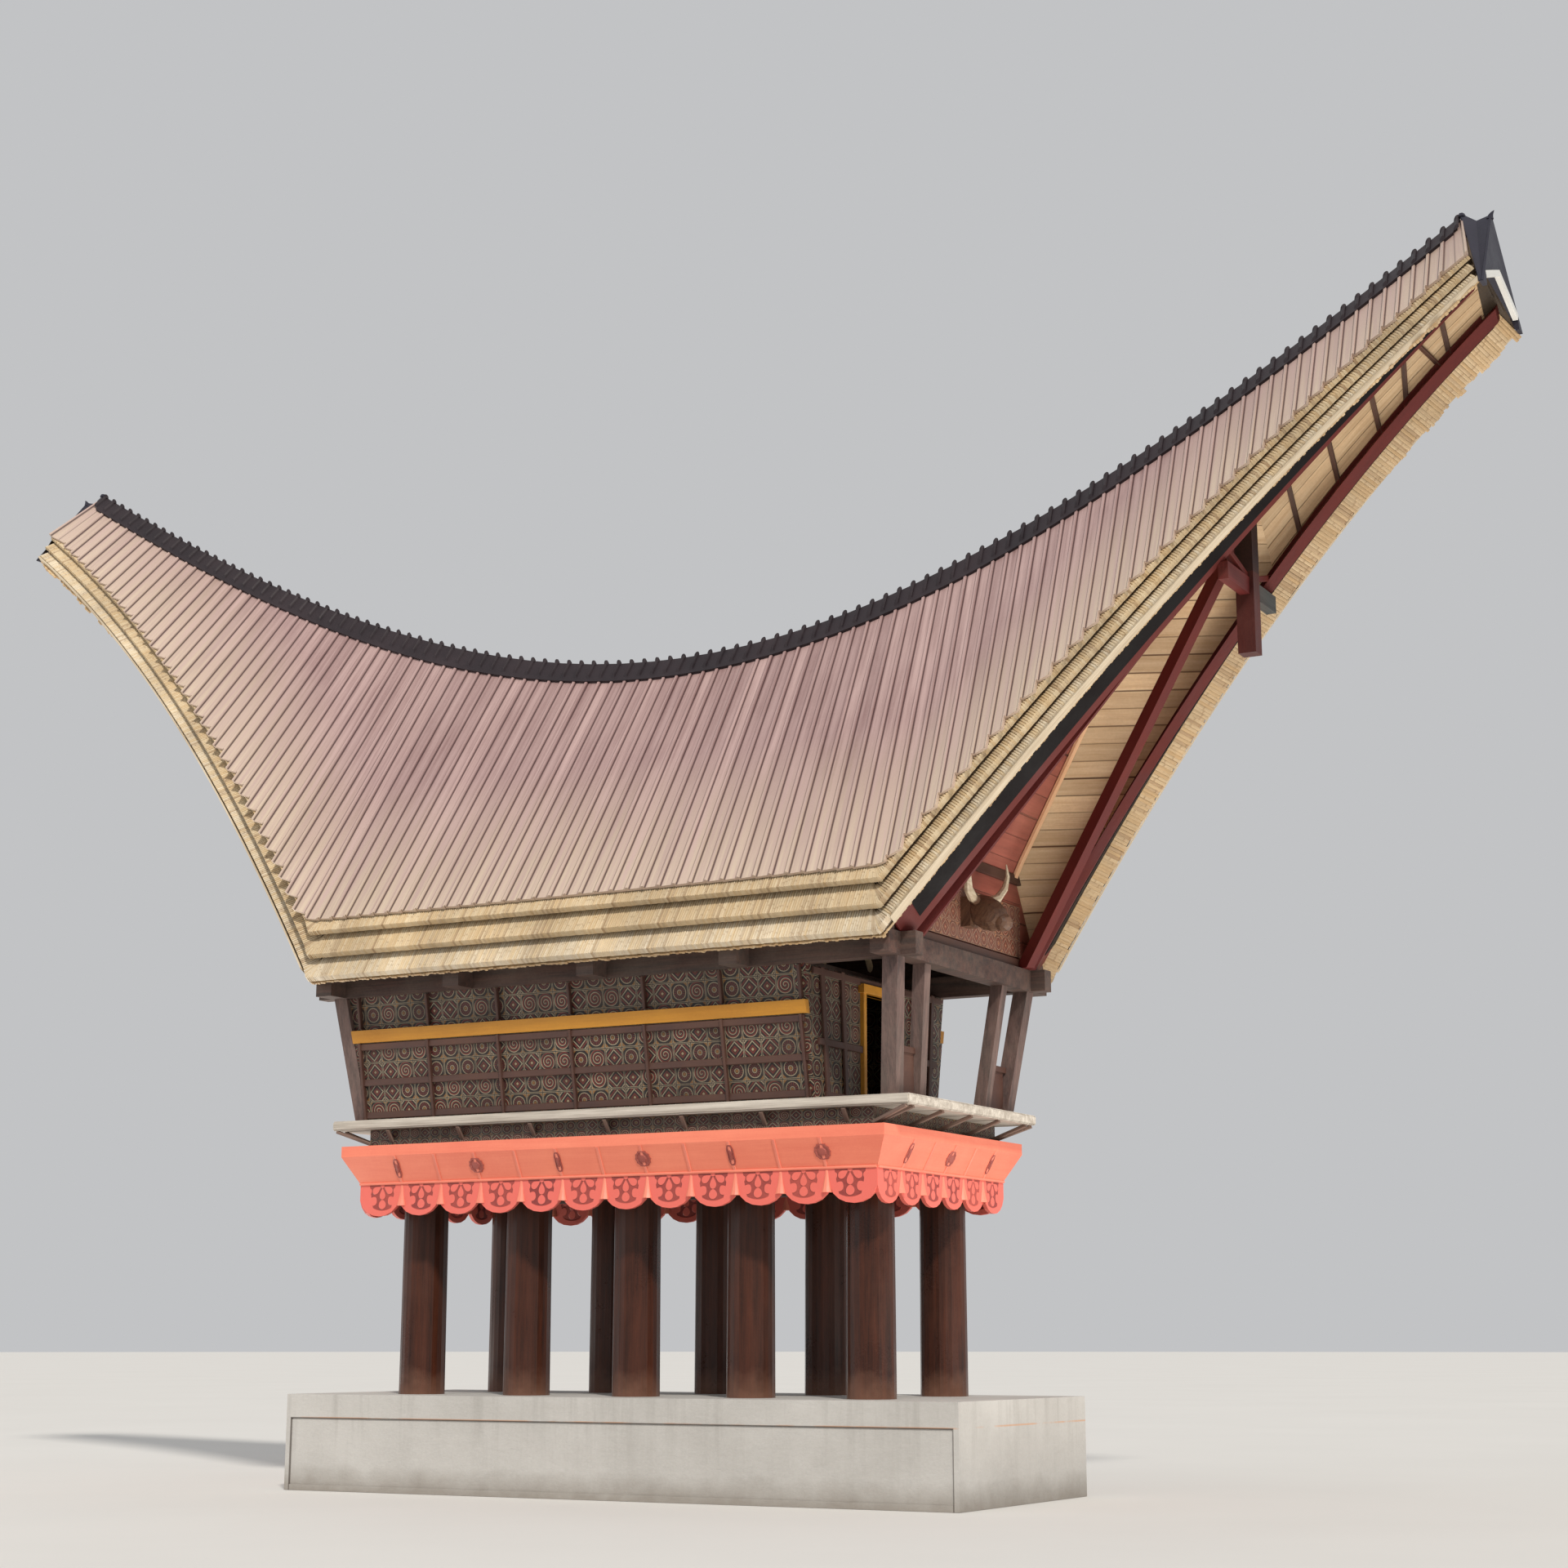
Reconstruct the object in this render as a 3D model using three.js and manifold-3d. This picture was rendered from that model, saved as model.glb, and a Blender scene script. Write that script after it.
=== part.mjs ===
// A tongkonan, the saddle-roofed house of the Toraja highlands, raised on pillars over a masonry plinth.
// Millimetres, +Z up, +X towards the front prow, +Y to the house's left.
// The origin is on the ground, under the middle of the house.

import * as THREE from 'three';
import { mergeVertices } from 'three/addons/utils/BufferGeometryUtils.js';
import Module from 'manifold-3d';

const wasm = await Module();
wasm.setup();

// Driving dimensions
const TOUCH = 0.3;                     // air left between two pieces that touch
const ENDS = { front: 1, rear: -1 };
const SIDES = { left: 1, right: -1 };

const PLINTH = { halfLength: 3880, halfWidth: 1480, top: 970, panelInset: 60, panelTop: 730, panelDepth: 15 };
const PILLAR = { perRow: 5, spacing: 1325, rowY: 800, footRadius: 240, headRadius: 232, top: 3000, sides: 24 };
const BEARER = { width: 200, top: 3220 };
const RING = { outerX: 2990, outerY: 1370, width: 160, top: 3690 };
const DECK = { halfLength: 3400, halfWidth: 1470, top: 3790 };
const SKIRT = {
  innerX: 3010, innerY: 1390, thickness: 40, scallopDepth: 170, scallopFoot: 2780,
  bend: 3120, lip: 3400, top: 3510, flare: 150, scallopsLong: 12, scallopsShort: 6,
};
const WALL = { top: 5080, thickness: 70, outerFootY: 1290, outerHeadY: 1540, frontX: 2340, carvedTop: 4600 };
const CARVED = { thickness: 48 };
const RAIL = { height: 130, thickness: 75 };
const POST = {
  width: 160, footX: 3130, headX: 3280, footY: 1270, headY: 1510,
  middleWidth: 130, middleFootY: 740, middleHeadY: 900,
};
const DOORWAY = { width: 660, height: 1130 };
const PLATE = { innerY: 1440, outerY: 1600, halfLength: 3560, top: 5300, crossWidth: 200, crossReach: 1850 };
const PURLIN = { innerY: 1690, outerY: 1820, halfLength: 3380 };

const RIDGE = { middle: 8730, asymptote: 0.787, softness: 7000 };
const EAVES = { halfLength: 3400, halfWidth: 1950, height: 5200 };
const TIP = { x: 8970, halfWidth: 720, height: 11050, startRise: 7320, widthPower: 1.6 };
const END_CUT = { x: 8660, z: 12060, lean: 0.3 };
const BAMBOO = { layers: 3, bodyLayer: 120, tipLayer: 66, bodyStep: 220, tipStep: 150, sheetStep: 0.6 };
const SHEET = 30;
const CAP = { leg: 230, thickness: 32, endX: 8620 };
const HOOD = {
  frontX: 8950, lowerX: 9010, dip: 11955, frontTop: 11990, halfWidth: 745, lowerZ: 11030,
  openingApex: 11380, openingShoulder: 11150, openingHalfShoulder: 590, openingHalfFoot: 640, openingFoot: 10870,
};
const RIDGE_BEAM = { halfWidth: 85, depth: 330, endX: 8500 };
const RAFTER = { outer: 270, width: 140, bodyDepth: 420, tipDepth: 120, taper: 1.5, endX: 8850 };
const GABLE = { faceX: 3300, thickness: 60, kink: 6250, lean: 0.73 };
const HANGER = { x: 6400, width: 180, foot: 7990 };
const CROSSBEAM = { width: 100, bottom: 8570, top: 8740, halfLength: 700 };
const STRUT = { width: 110, depth: 130, footX: 3400, footY: 1290, headX: 6310, headY: 100, headZ: 9270 };
const STATION_STEP = 400;

const COLOURS = {
  concrete: { color: 0xd6d2c8, roughness: 0.85 },
  pillarWood: { color: 0x4c2219, roughness: 0.45 },
  darkWood: { color: 0x3a2620, roughness: 0.7 },
  greyWood: { color: 0x8b8074, roughness: 0.85 },
  skirtPaint: { color: 0xe98873, roughness: 0.55 },
  carvedWood: { color: 0x4b3029, roughness: 0.6 },
  railPaint: { color: 0xc07a12, roughness: 0.5 },
  redWood: { color: 0x6d211b, roughness: 0.5 },
  gablePaint: { color: 0x7a3a34, roughness: 0.6 },
  bamboo: { color: 0xb59a66, roughness: 0.7 },
  roofPaint: { color: 0x8a625f, roughness: 0.5, metalness: 0.2 },
  capMetal: { color: 0x35373f, roughness: 0.5, metalness: 0.4 },
};

// Solids and booleans

/** A solid for cutting and joining, from a closed geometry. Faces are turned outwards if need be. */
function toSolid(geometry) {
  const bare = new THREE.BufferGeometry();
  bare.setAttribute('position', geometry.getAttribute('position').clone());
  bare.setIndex(geometry.getIndex());
  const merged = mergeVertices(bare, 1e-3);
  const triangles = new Uint32Array(merged.getIndex().array);
  const points = new Float32Array(merged.getAttribute('position').array);
  if (signedVolume(points, triangles) < 0) {
    for (let i = 0; i < triangles.length; i += 3) {
      [triangles[i], triangles[i + 1]] = [triangles[i + 1], triangles[i]];
    }
  }
  return new wasm.Manifold(new wasm.Mesh({ numProp: 3, vertProperties: points, triVerts: triangles }));
}

function signedVolume(points, triangles) {
  const [a, b, c] = [new THREE.Vector3(), new THREE.Vector3(), new THREE.Vector3()];
  let sum = 0;
  for (let i = 0; i < triangles.length; i += 3) {
    a.fromArray(points, 3 * triangles[i]);
    b.fromArray(points, 3 * triangles[i + 1]);
    c.fromArray(points, 3 * triangles[i + 2]);
    sum += a.dot(b.cross(c));
  }
  return sum / 6;
}

function toGeometry(solid) {
  const mesh = solid.getMesh();
  const geometry = new THREE.BufferGeometry();
  geometry.setAttribute('position', new THREE.BufferAttribute(new Float32Array(mesh.vertProperties), 3));
  geometry.setIndex(new THREE.BufferAttribute(new Uint32Array(mesh.triVerts), 1));
  geometry.computeVertexNormals();
  return geometry;
}

function box(x0, x1, y0, y1, z0, z1) {
  const geometry = new THREE.BoxGeometry(x1 - x0, y1 - y0, z1 - z0);
  return toSolid(geometry.translate((x0 + x1) / 2, (y0 + y1) / 2, (z0 + z1) / 2));
}

/** A six-sided block between two level rectangles [x0, x1, y0, y1], for anything that leans. */
function leaningBlock(z0, foot, z1, head) {
  const corners = (r, z) => [[r[0], r[2], z], [r[1], r[2], z], [r[1], r[3], z], [r[0], r[3], z]];
  const geometry = new THREE.BufferGeometry();
  const points = [...corners(foot, z0), ...corners(head, z1)].flat();
  geometry.setAttribute('position', new THREE.BufferAttribute(new Float32Array(points), 3));
  const quads = [[0, 3, 2, 1], [4, 5, 6, 7], [0, 1, 5, 4], [1, 2, 6, 5], [2, 3, 7, 6], [3, 0, 4, 7]];
  geometry.setIndex(quads.flatMap(([a, b, c, d]) => [a, b, c, a, c, d]));
  return toSolid(geometry);
}

/** A straight timber of rectangular section from p to q, which are arrays. */
function timber(p, q, width, depth) {
  const [from, to] = [new THREE.Vector3(...p), new THREE.Vector3(...q)];
  const along = to.clone().sub(from);
  const geometry = new THREE.BoxGeometry(along.length(), width, depth);
  const side = new THREE.Vector3(0, 0, 1).cross(along).normalize();
  const up = along.clone().normalize().cross(side);
  const frame = new THREE.Matrix4().makeBasis(along.clone().normalize(), side, up);
  frame.setPosition(from.add(to).multiplyScalar(0.5));
  return toSolid(geometry.applyMatrix4(frame));
}

/** An outline in the XY plane, raised from z0 to z1. */
function slab(outline, z0, z1) {
  const shape = new THREE.Shape(outline.map(([x, y]) => new THREE.Vector2(x, y)));
  const geometry = new THREE.ExtrudeGeometry(shape, { depth: z1 - z0, bevelEnabled: false });
  return toSolid(geometry.translate(0, 0, z0));
}

/** An outline of [y, z] points, extruded from x0 to x1. */
function crossWall(outline, x0, x1) {
  return loft([x0, x1], () => outline);
}

/** Triangles that fill an outline of [y, z] points, in the outline's own direction, keeping every point in use. */
function clipEars(outline) {
  const cross = (a, b, c) => (b[0] - a[0]) * (c[1] - a[1]) - (b[1] - a[1]) * (c[0] - a[0]);
  const area = outline.reduce((sum, p, i) => sum + cross([0, 0], p, outline[(i + 1) % outline.length]), 0);
  const sign = Math.sign(area);
  const ring = outline.map((_, i) => i);
  const faces = [];
  while (ring.length > 2) {
    const cornersAt = (i) => [ring[(i + ring.length - 1) % ring.length], ring[i], ring[(i + 1) % ring.length]];
    const ear = ring.findIndex((_, i) => {
      const corners = cornersAt(i);
      const [a, b, c] = corners.map((k) => outline[k]);
      if (sign * cross(a, b, c) < 1e-3) return false;
      return !ring.some((k) => {
        if (corners.includes(k)) return false;
        const p = outline[k];
        return [cross(a, b, p), cross(b, c, p), cross(c, a, p)].every((turn) => sign * turn > -1e-3);
      });
    });
    if (ear < 0) throw new Error('an outline crosses itself');
    faces.push(cornersAt(ear));
    ring.splice(ear, 1);
  }
  return faces;
}

/**
 * A closed body through rings of [x, y, z] points, with flat ends.
 * Each quad is split through its highest corner, so that neighbouring skins bend along the same lines.
 */
function skin(rings) {
  const count = rings[0].length;
  const points = rings.flat();
  const index = [];
  for (let i = 0; i + 1 < rings.length; i += 1) {
    for (let j = 0; j < count; j += 1) {
      const next = (j + 1) % count;
      const [a, b, c, d] = [i * count + j, (i + 1) * count + j, (i + 1) * count + next, i * count + next];
      const highest = [a, b, c, d].reduce((best, k) => (points[k][2] > points[best][2] + 1e-6 ? k : best), a);
      if (highest === a || highest === c) index.push(a, b, c, a, c, d);
      else index.push(b, c, d, b, d, a);
    }
  }
  const last = (rings.length - 1) * count;
  const flat = (ring) => ring.map(([, y, z]) => [y, z]);
  for (const [a, b, c] of clipEars(flat(rings[0]))) index.push(a, b, c);
  for (const [a, b, c] of clipEars(flat(rings[rings.length - 1]))) index.push(last + a, last + c, last + b);
  const geometry = new THREE.BufferGeometry();
  geometry.setAttribute('position', new THREE.BufferAttribute(new Float32Array(points.flat()), 3));
  geometry.setIndex(index);
  return toSolid(geometry);
}

/** A closed body through sections at the given stations along X. A section is a list of [y, z] points. */
const loft = (xs, sectionAt) => skin(xs.map((x) => sectionAt(x).map(([y, z]) => [x, y, z])));

/** A round bar through centres with a radius at each, closed at both ends. */
function horn(centres, radii, sides) {
  const curve = new THREE.CatmullRomCurve3(centres.map((p) => new THREE.Vector3(...p)));
  const steps = centres.length - 1;
  const frames = curve.computeFrenetFrames(steps);
  const points = [];
  const index = [];
  for (let i = 0; i <= steps; i += 1) {
    const centre = curve.getPoint(i / steps);
    for (let j = 0; j < sides; j += 1) {
      const angle = (2 * Math.PI * j) / sides;
      const offset = frames.normals[i].clone().multiplyScalar(radii[i] * Math.cos(angle));
      offset.addScaledVector(frames.binormals[i], radii[i] * Math.sin(angle));
      points.push(...centre.clone().add(offset).toArray());
    }
  }
  for (let i = 0; i < steps; i += 1) {
    for (let j = 0; j < sides; j += 1) {
      const next = (j + 1) % sides;
      const [a, b, c, d] = [i * sides + j, (i + 1) * sides + j, (i + 1) * sides + next, i * sides + next];
      index.push(a, c, b, a, d, c);
    }
  }
  for (let j = 1; j + 1 < sides; j += 1) {
    index.push(0, j + 1, j);
    index.push(steps * sides, steps * sides + j, steps * sides + j + 1);
  }
  const geometry = new THREE.BufferGeometry();
  geometry.setAttribute('position', new THREE.BufferAttribute(new Float32Array(points), 3));
  geometry.setIndex(index);
  return toSolid(geometry);
}

const joined = (...solids) => solids.reduce((whole, piece) => whole.add(piece));
const mirrorX = (solid) => solid.mirror([1, 0, 0]);
const turned = (solid, end) => (end > 0 ? solid : mirrorX(solid));
const between = (from, to, share) => from + (to - from) * share;

// Roof form

/** The height of the ridge line: a hyperbola, level in the middle and nearly straight at the prows. */
function ridgeHeight(x) {
  const { middle, asymptote, softness } = RIDGE;
  return middle + asymptote * (Math.hypot(softness, x) - softness);
}

/**
 * The roof's cross-section at x. The underside runs from the apex down the slope to the lower edge:
 * straight eaves along the body, and a rising, narrowing edge along each prow.
 */
function roofAt(x) {
  const run = Math.max(0, (Math.abs(x) - EAVES.halfLength) / (TIP.x - EAVES.halfLength));
  const rise = TIP.height - EAVES.height - TIP.startRise;
  const edgeZ = EAVES.height + TIP.startRise * run + rise * run * run;
  const edgeY = TIP.halfWidth + (EAVES.halfWidth - TIP.halfWidth) * Math.max(0, 1 - run) ** TIP.widthPower;
  const layer = between(BAMBOO.bodyLayer, BAMBOO.tipLayer, Math.min(1, run));
  const step = between(BAMBOO.bodyStep, BAMBOO.tipStep, Math.min(1, run));
  const thickness = BAMBOO.layers * layer + SHEET;
  let slope = Math.PI / 4;
  let apex = 0;
  for (let pass = 0; pass < 60; pass += 1) {
    apex = ridgeHeight(x) - thickness / Math.cos(slope);
    slope = between(slope, Math.atan2(apex - edgeZ, edgeY), 0.5);
  }
  const length = edgeY / Math.cos(slope);
  const depth = between(RAFTER.bodyDepth, RAFTER.tipDepth, Math.min(1, run) ** RAFTER.taper);
  return { apex, slope, length, layer, step, depth };
}

/** The point [y, z] that lies down the slope by s and above the underside by h. */
function onSlope(roof, side, s, h) {
  const y = s * Math.cos(roof.slope) + h * Math.sin(roof.slope);
  return [side * y, roof.apex - s * Math.sin(roof.slope) + h * Math.cos(roof.slope)];
}

/** How far down the slope the middle plane lies, at height h above the underside. */
const ridgeStart = (roof, h) => (TOUCH / 2 - h * Math.sin(roof.slope)) / Math.cos(roof.slope);

/** Stations from x0 to x1, with the eaves corners and the ends of the ridge cap among them. */
function stations(x0, x1) {
  const steps = Math.ceil(TIP.x / STATION_STEP);
  const even = Array.from({ length: 2 * steps + 1 }, (_, i) => (i - steps) * STATION_STEP);
  const marks = [-EAVES.halfLength, EAVES.halfLength, -CAP.endX, CAP.endX, x0, x1];
  const kept = [...even, ...marks].filter((x) => x >= x0 - 1e-6 && x <= x1 + 1e-6).sort((a, b) => a - b);
  return kept.filter((x, i) => i === 0 || x - kept[i - 1] > 1);
}

/** How far along X the leaning end of the roof's layers lies at height z. */
const endCutX = (z) => END_CUT.x + END_CUT.lean * (END_CUT.z - z);

/** Everything past the leaning ends of the roof. */
const pastEnds = (() => {
  const rectangle = (z) => [endCutX(z), TIP.x + 1000, -2000, 2000];
  const front = leaningBlock(10000, rectangle(10000), 13000, rectangle(13000));
  return joined(front, mirrorX(front));
})();

/** The three layers of bamboo on one slope, each set back from the one below. */
function bambooSlope(side) {
  return loft(stations(-TIP.x, TIP.x), (x) => {
    const roof = roofAt(x);
    const { layer: t, step, length } = roof;
    return [
      [ridgeStart(roof, 0), 0], [length, 0], [length, t], [length - step, t], [length - step, 2 * t],
      [length - 2 * step, 2 * t], [length - 2 * step, 3 * t], [sheetEdge(roof), 3 * t],
      [ridgeStart(roof, 3 * t), 3 * t],
    ].map(([s, h]) => onSlope(roof, side, s, h));
  }).subtract(pastEnds);
}

const sheetEdge = (roof) => roof.length - (2 + BAMBOO.sheetStep) * roof.step;

/** The painted metal sheet that lies on the bamboo of one slope. */
function sheetSlope(side) {
  return loft(stations(-TIP.x, TIP.x), (x) => {
    const roof = roofAt(x);
    const [bottom, top] = [3 * roof.layer + TOUCH, 3 * roof.layer + SHEET];
    const start = ridgeStart(roof, top);
    return [
      [ridgeStart(roof, bottom), bottom], [sheetEdge(roof), bottom], [sheetEdge(roof), top],
      [start + CAP.leg, top], [start, top],
    ].map(([s, h]) => onSlope(roof, side, s, h));
  }).subtract(pastEnds);
}

/** The folded cap astride the ridge, with a leg down each slope. */
function ridgeCap() {
  return loft(stations(-CAP.endX, CAP.endX), (x) => {
    const roof = roofAt(x);
    const bottom = 3 * roof.layer + SHEET + TOUCH;
    const top = bottom + CAP.thickness;
    const apexAt = (h) => roof.apex + h / Math.cos(roof.slope);
    const leg = ridgeStart(roof, bottom) + CAP.leg;
    return [
      onSlope(roof, -1, leg, bottom), onSlope(roof, -1, leg, top), [0, apexAt(top)],
      onSlope(roof, 1, leg, top), onSlope(roof, 1, leg, bottom), [0, apexAt(bottom)],
    ];
  });
}

/**
 * The dark metal hood in front of a prow's leaning end. Its ridge dips between two small horns, its sides
 * narrow to nothing at the lower corners, and its front is open below a flat gable.
 */
function prowHood(end) {
  const { frontX, lowerX, dip, frontTop, halfWidth, lowerZ } = HOOD;
  const middleX = (END_CUT.x + frontX) / 2;
  const backX = endCutX(lowerZ) + TOUCH;
  const triangle = (apexX, apexZ, cornerX) => [
    [cornerX, -halfWidth, lowerZ], [apexX, 0, apexZ], [cornerX, halfWidth, lowerZ],
  ];
  const solid = skin([
    triangle(END_CUT.x + TOUCH, END_CUT.z, backX),
    triangle(middleX, dip, (backX + lowerX) / 2),
    triangle(frontX, frontTop, lowerX),
  ]);
  const { openingApex, openingShoulder, openingHalfShoulder, openingHalfFoot, openingFoot } = HOOD;
  const opening = crossWall([
    [-openingHalfFoot, openingFoot], [openingHalfFoot, openingFoot],
    [openingHalfShoulder, openingShoulder], [0, openingApex], [-openingHalfShoulder, openingShoulder],
  ], END_CUT.x - 500, lowerX + 500);
  return turned(solid.subtract(opening), end);
}

/** Everything below the roof's underside, which trims what reaches up to the roof. */
const underRoof = loft(stations(-TIP.x, TIP.x), (x) => {
  const roof = roofAt(x);
  const drop = 2 * TOUCH;
  const [y, z] = onSlope(roof, 1, roof.length, 0);
  return [[0, roof.apex - drop], [y, z - drop], [y, 0], [-y, 0], [-y, z - drop]];
});

function ridgeBeam(grow = 0) {
  const { halfWidth, depth, endX } = RIDGE_BEAM;
  const solid = loft(stations(-endX, endX), (x) => {
    const { apex } = roofAt(x);
    const w = halfWidth + grow;
    return [[-w, apex - depth - grow], [w, apex - depth - grow], [w, apex + 100], [-w, apex + 100]];
  });
  return grow ? solid : solid.intersect(underRoof);
}

/** The rafter under one rising edge of a prow, with its foot on the wall plate. */
function vergeRafter(end, side, grow = 0) {
  const start = PURLIN.halfLength + TOUCH;
  const solid = loft(stations(start - grow, RAFTER.endX), (x) => {
    const roof = roofAt(x);
    const [s0, s1] = [roof.length - RAFTER.outer - RAFTER.width - grow, roof.length - RAFTER.outer + grow];
    return [[s0, 60], [s1, 60], [s1, -roof.depth - grow], [s0, -roof.depth - grow]].map(([s, h]) =>
      onSlope(roof, side, s, h));
  });
  const abovePlates = box(0, TIP.x, -3000, 3000, PLATE.top + TOUCH, 20000);
  return turned(grow ? solid : solid.intersect(underRoof).intersect(abovePlates), end);
}

// Ground floor

/** The masonry plinth, with a shallow sunk panel in each long face. */
function plinth() {
  const { halfLength: a, halfWidth: b, top, panelInset, panelTop, panelDepth } = PLINTH;
  let solid = box(-a, a, -b, b, 0, top);
  for (const side of Object.values(SIDES)) {
    const [y0, y1] = [side * (b - panelDepth), side * (b + panelDepth)].sort((p, q) => p - q);
    solid = solid.subtract(box(-a + panelInset, a - panelInset, y0, y1, panelInset, panelTop));
  }
  return solid;
}

function pillar(x, y) {
  const { footRadius, headRadius, top, sides } = PILLAR;
  const height = top - PLINTH.top - TOUCH;
  const geometry = new THREE.CylinderGeometry(headRadius, footRadius, height, sides);
  geometry.rotateX(Math.PI / 2);
  return toSolid(geometry.translate(x, y, PLINTH.top + TOUCH + height / 2));
}

const pillarXs = Array.from({ length: PILLAR.perRow }, (_, i) => (i - (PILLAR.perRow - 1) / 2) * PILLAR.spacing);

/** Two long bearers on the pillars, halved into five cross bearers. */
function floorBearers() {
  const [z0, z1, half] = [PILLAR.top + TOUCH, BEARER.top, BEARER.width / 2];
  const long = Object.values(SIDES).map((side) => {
    const y = side * PILLAR.rowY;
    return box(-SKIRT.innerX + TOUCH, SKIRT.innerX - TOUCH, y - half, y + half, z0, z1);
  });
  const reach = SKIRT.innerY - TOUCH;
  const cross = pillarXs.map((x) => box(x - half, x + half, -reach, reach, z0, z1));
  return joined(...long, ...cross);
}

function ringBeam() {
  const { outerX: x, outerY: y, width, top } = RING;
  const z0 = BEARER.top + TOUCH;
  const outer = box(-x, x, -y, y, z0, top);
  return outer.subtract(box(width - x, x - width, width - y, y - width, z0 - 10, top + 10));
}

function floorDeck() {
  const { halfLength: a, halfWidth: b, top } = DECK;
  return box(-a, a, -b, b, RING.top + TOUCH, top);
}

/** One side of the painted skirt: a scalloped board, one above it that leans outwards, and an upright lip. */
function skirt(inner, halfLength, scallops) {
  const { thickness, scallopDepth, scallopFoot, bend, lip, top, flare } = SKIRT;
  const width = (2 * (halfLength + thickness)) / scallops;
  const shape = new THREE.Shape();
  shape.moveTo(-halfLength - thickness, bend);
  shape.lineTo(-halfLength - thickness, scallopFoot + scallopDepth);
  for (let i = 0; i < scallops; i += 1) {
    const x = -halfLength - thickness + i * width;
    const z = scallopFoot + scallopDepth;
    const foot = scallopFoot - scallopDepth * 0.3;
    shape.bezierCurveTo(x + width * 0.12, foot, x + width * 0.88, foot, x + width, z);
  }
  shape.lineTo(halfLength + thickness, bend);
  const geometry = new THREE.ExtrudeGeometry(shape, { depth: thickness, bevelEnabled: false, curveSegments: 8 });
  geometry.rotateX(Math.PI / 2);
  const scalloped = toSolid(geometry.translate(0, inner + thickness, 0));
  const long = halfLength + 2 * flare;
  const leaning = loft([-long, long], () => [
    [inner, bend - 1], [inner + thickness, bend - 1], [inner + thickness, bend],
    [inner + thickness + flare, lip], [inner + thickness + flare, top], [inner + flare, top],
    [inner + flare, lip], [inner, bend],
  ]);
  const [near, far] = [halfLength - 100 - TOUCH, halfLength + 1000 - TOUCH];
  const mitre = slab([
    [-near, inner - 100], [near, inner - 100], [far, inner + 1000], [-far, inner + 1000],
  ], scallopFoot - 100, top + 100);
  return joined(scalloped, leaning).intersect(mitre);
}

// Body

/** How far a wall's outer face stands from the middle plane at height z. */
const wallFaceY = (z) => between(WALL.outerFootY, WALL.outerHeadY, (z - DECK.top) / (WALL.top - DECK.top));
const postX = (z) => between(POST.footX, POST.headX, (z - DECK.top) / (WALL.top - DECK.top));
const postY = (z) => between(POST.footY, POST.headY, (z - DECK.top) / (WALL.top - DECK.top));

/** A leaning post, from y0 at its foot to y1 at its head. */
function post(end, side, y0, y1, width) {
  const [z0, z1] = [DECK.top + TOUCH, WALL.top - TOUCH];
  const rectangle = (z, y) => {
    const x = end * postX(z);
    return [x - width / 2, x + width / 2, side * y - width / 2, side * y + width / 2];
  };
  return leaningBlock(z0, rectangle(z0, y0), z1, rectangle(z1, y1));
}

/** A board along one side of the body between two heights, set off from the wall's outer face. */
function sideBoard(side, z0, z1, inset, thickness) {
  const rectangle = (z) => {
    const rear = -postX(z) + POST.width / 2 + TOUCH;
    const [y0, y1] = [wallFaceY(z) + inset, wallFaceY(z) + inset + thickness];
    return side > 0 ? [rear, WALL.frontX, y0, y1] : [rear, WALL.frontX, -y1, -y0];
  };
  return leaningBlock(z0, rectangle(z0), z1, rectangle(z1));
}

/** A side wall: boarding up to the plate, with thicker carved panels over its lower part. */
function sideWall(side) {
  const [z0, z1] = [DECK.top + TOUCH, WALL.top - TOUCH];
  const boarding = sideBoard(side, z0, z1, -WALL.thickness, WALL.thickness);
  const panels = sideBoard(side, z0, WALL.carvedTop - TOUCH, -10, CARVED.thickness + 10);
  return joined(boarding, panels);
}

/** The wall between the room and the front porch, with its doorway. */
function frontWall() {
  const [z0, z1] = [DECK.top + TOUCH, WALL.top - TOUCH];
  const innerY = (z) => wallFaceY(z) - WALL.thickness - TOUCH;
  const [door, lintel] = [DOORWAY.width / 2, DECK.top + DOORWAY.height];
  return crossWall([
    [-innerY(z0), z0], [-door, z0], [-door, lintel], [door, lintel], [door, z0], [innerY(z0), z0],
    [innerY(z1), z1], [-innerY(z1), z1],
  ], WALL.frontX - WALL.thickness, WALL.frontX);
}

function rearWall() {
  const [z0, z1] = [DECK.top + TOUCH, WALL.top - TOUCH];
  const rectangle = (z) => {
    const [x, y] = [-postX(z), postY(z) - POST.width / 2 - TOUCH];
    return [x - WALL.thickness / 2, x + WALL.thickness / 2, -y, y];
  };
  return leaningBlock(z0, rectangle(z0), z1, rectangle(z1));
}

/** Two wall plates, and cross beams that reach out under the eaves. */
function plateFrame() {
  const { innerY, outerY, halfLength, top, crossWidth, crossReach } = PLATE;
  const plates = Object.values(SIDES).map((side) => {
    const [y0, y1] = side > 0 ? [innerY, outerY] : [-outerY, -innerY];
    return box(-halfLength, halfLength, y0, y1, WALL.top, top);
  });
  const endX = GABLE.faceX;
  const cross = [-endX, -endX / 2, 0, endX / 2, endX].map((x) =>
    box(x - crossWidth / 2, x + crossWidth / 2, -crossReach, crossReach, WALL.top, top));
  return joined(...plates, ...cross);
}

function eavesPurlin(side, grow = 0) {
  const [y0, y1] = [PURLIN.innerY - grow, PURLIN.outerY + grow];
  const [low, high] = side > 0 ? [y0, y1] : [-y1, -y0];
  const reach = PURLIN.halfLength + grow;
  const solid = box(-reach, reach, low, high, PLATE.top + TOUCH - grow, PLATE.top + 600);
  return grow ? solid : solid.intersect(underRoof);
}

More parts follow.
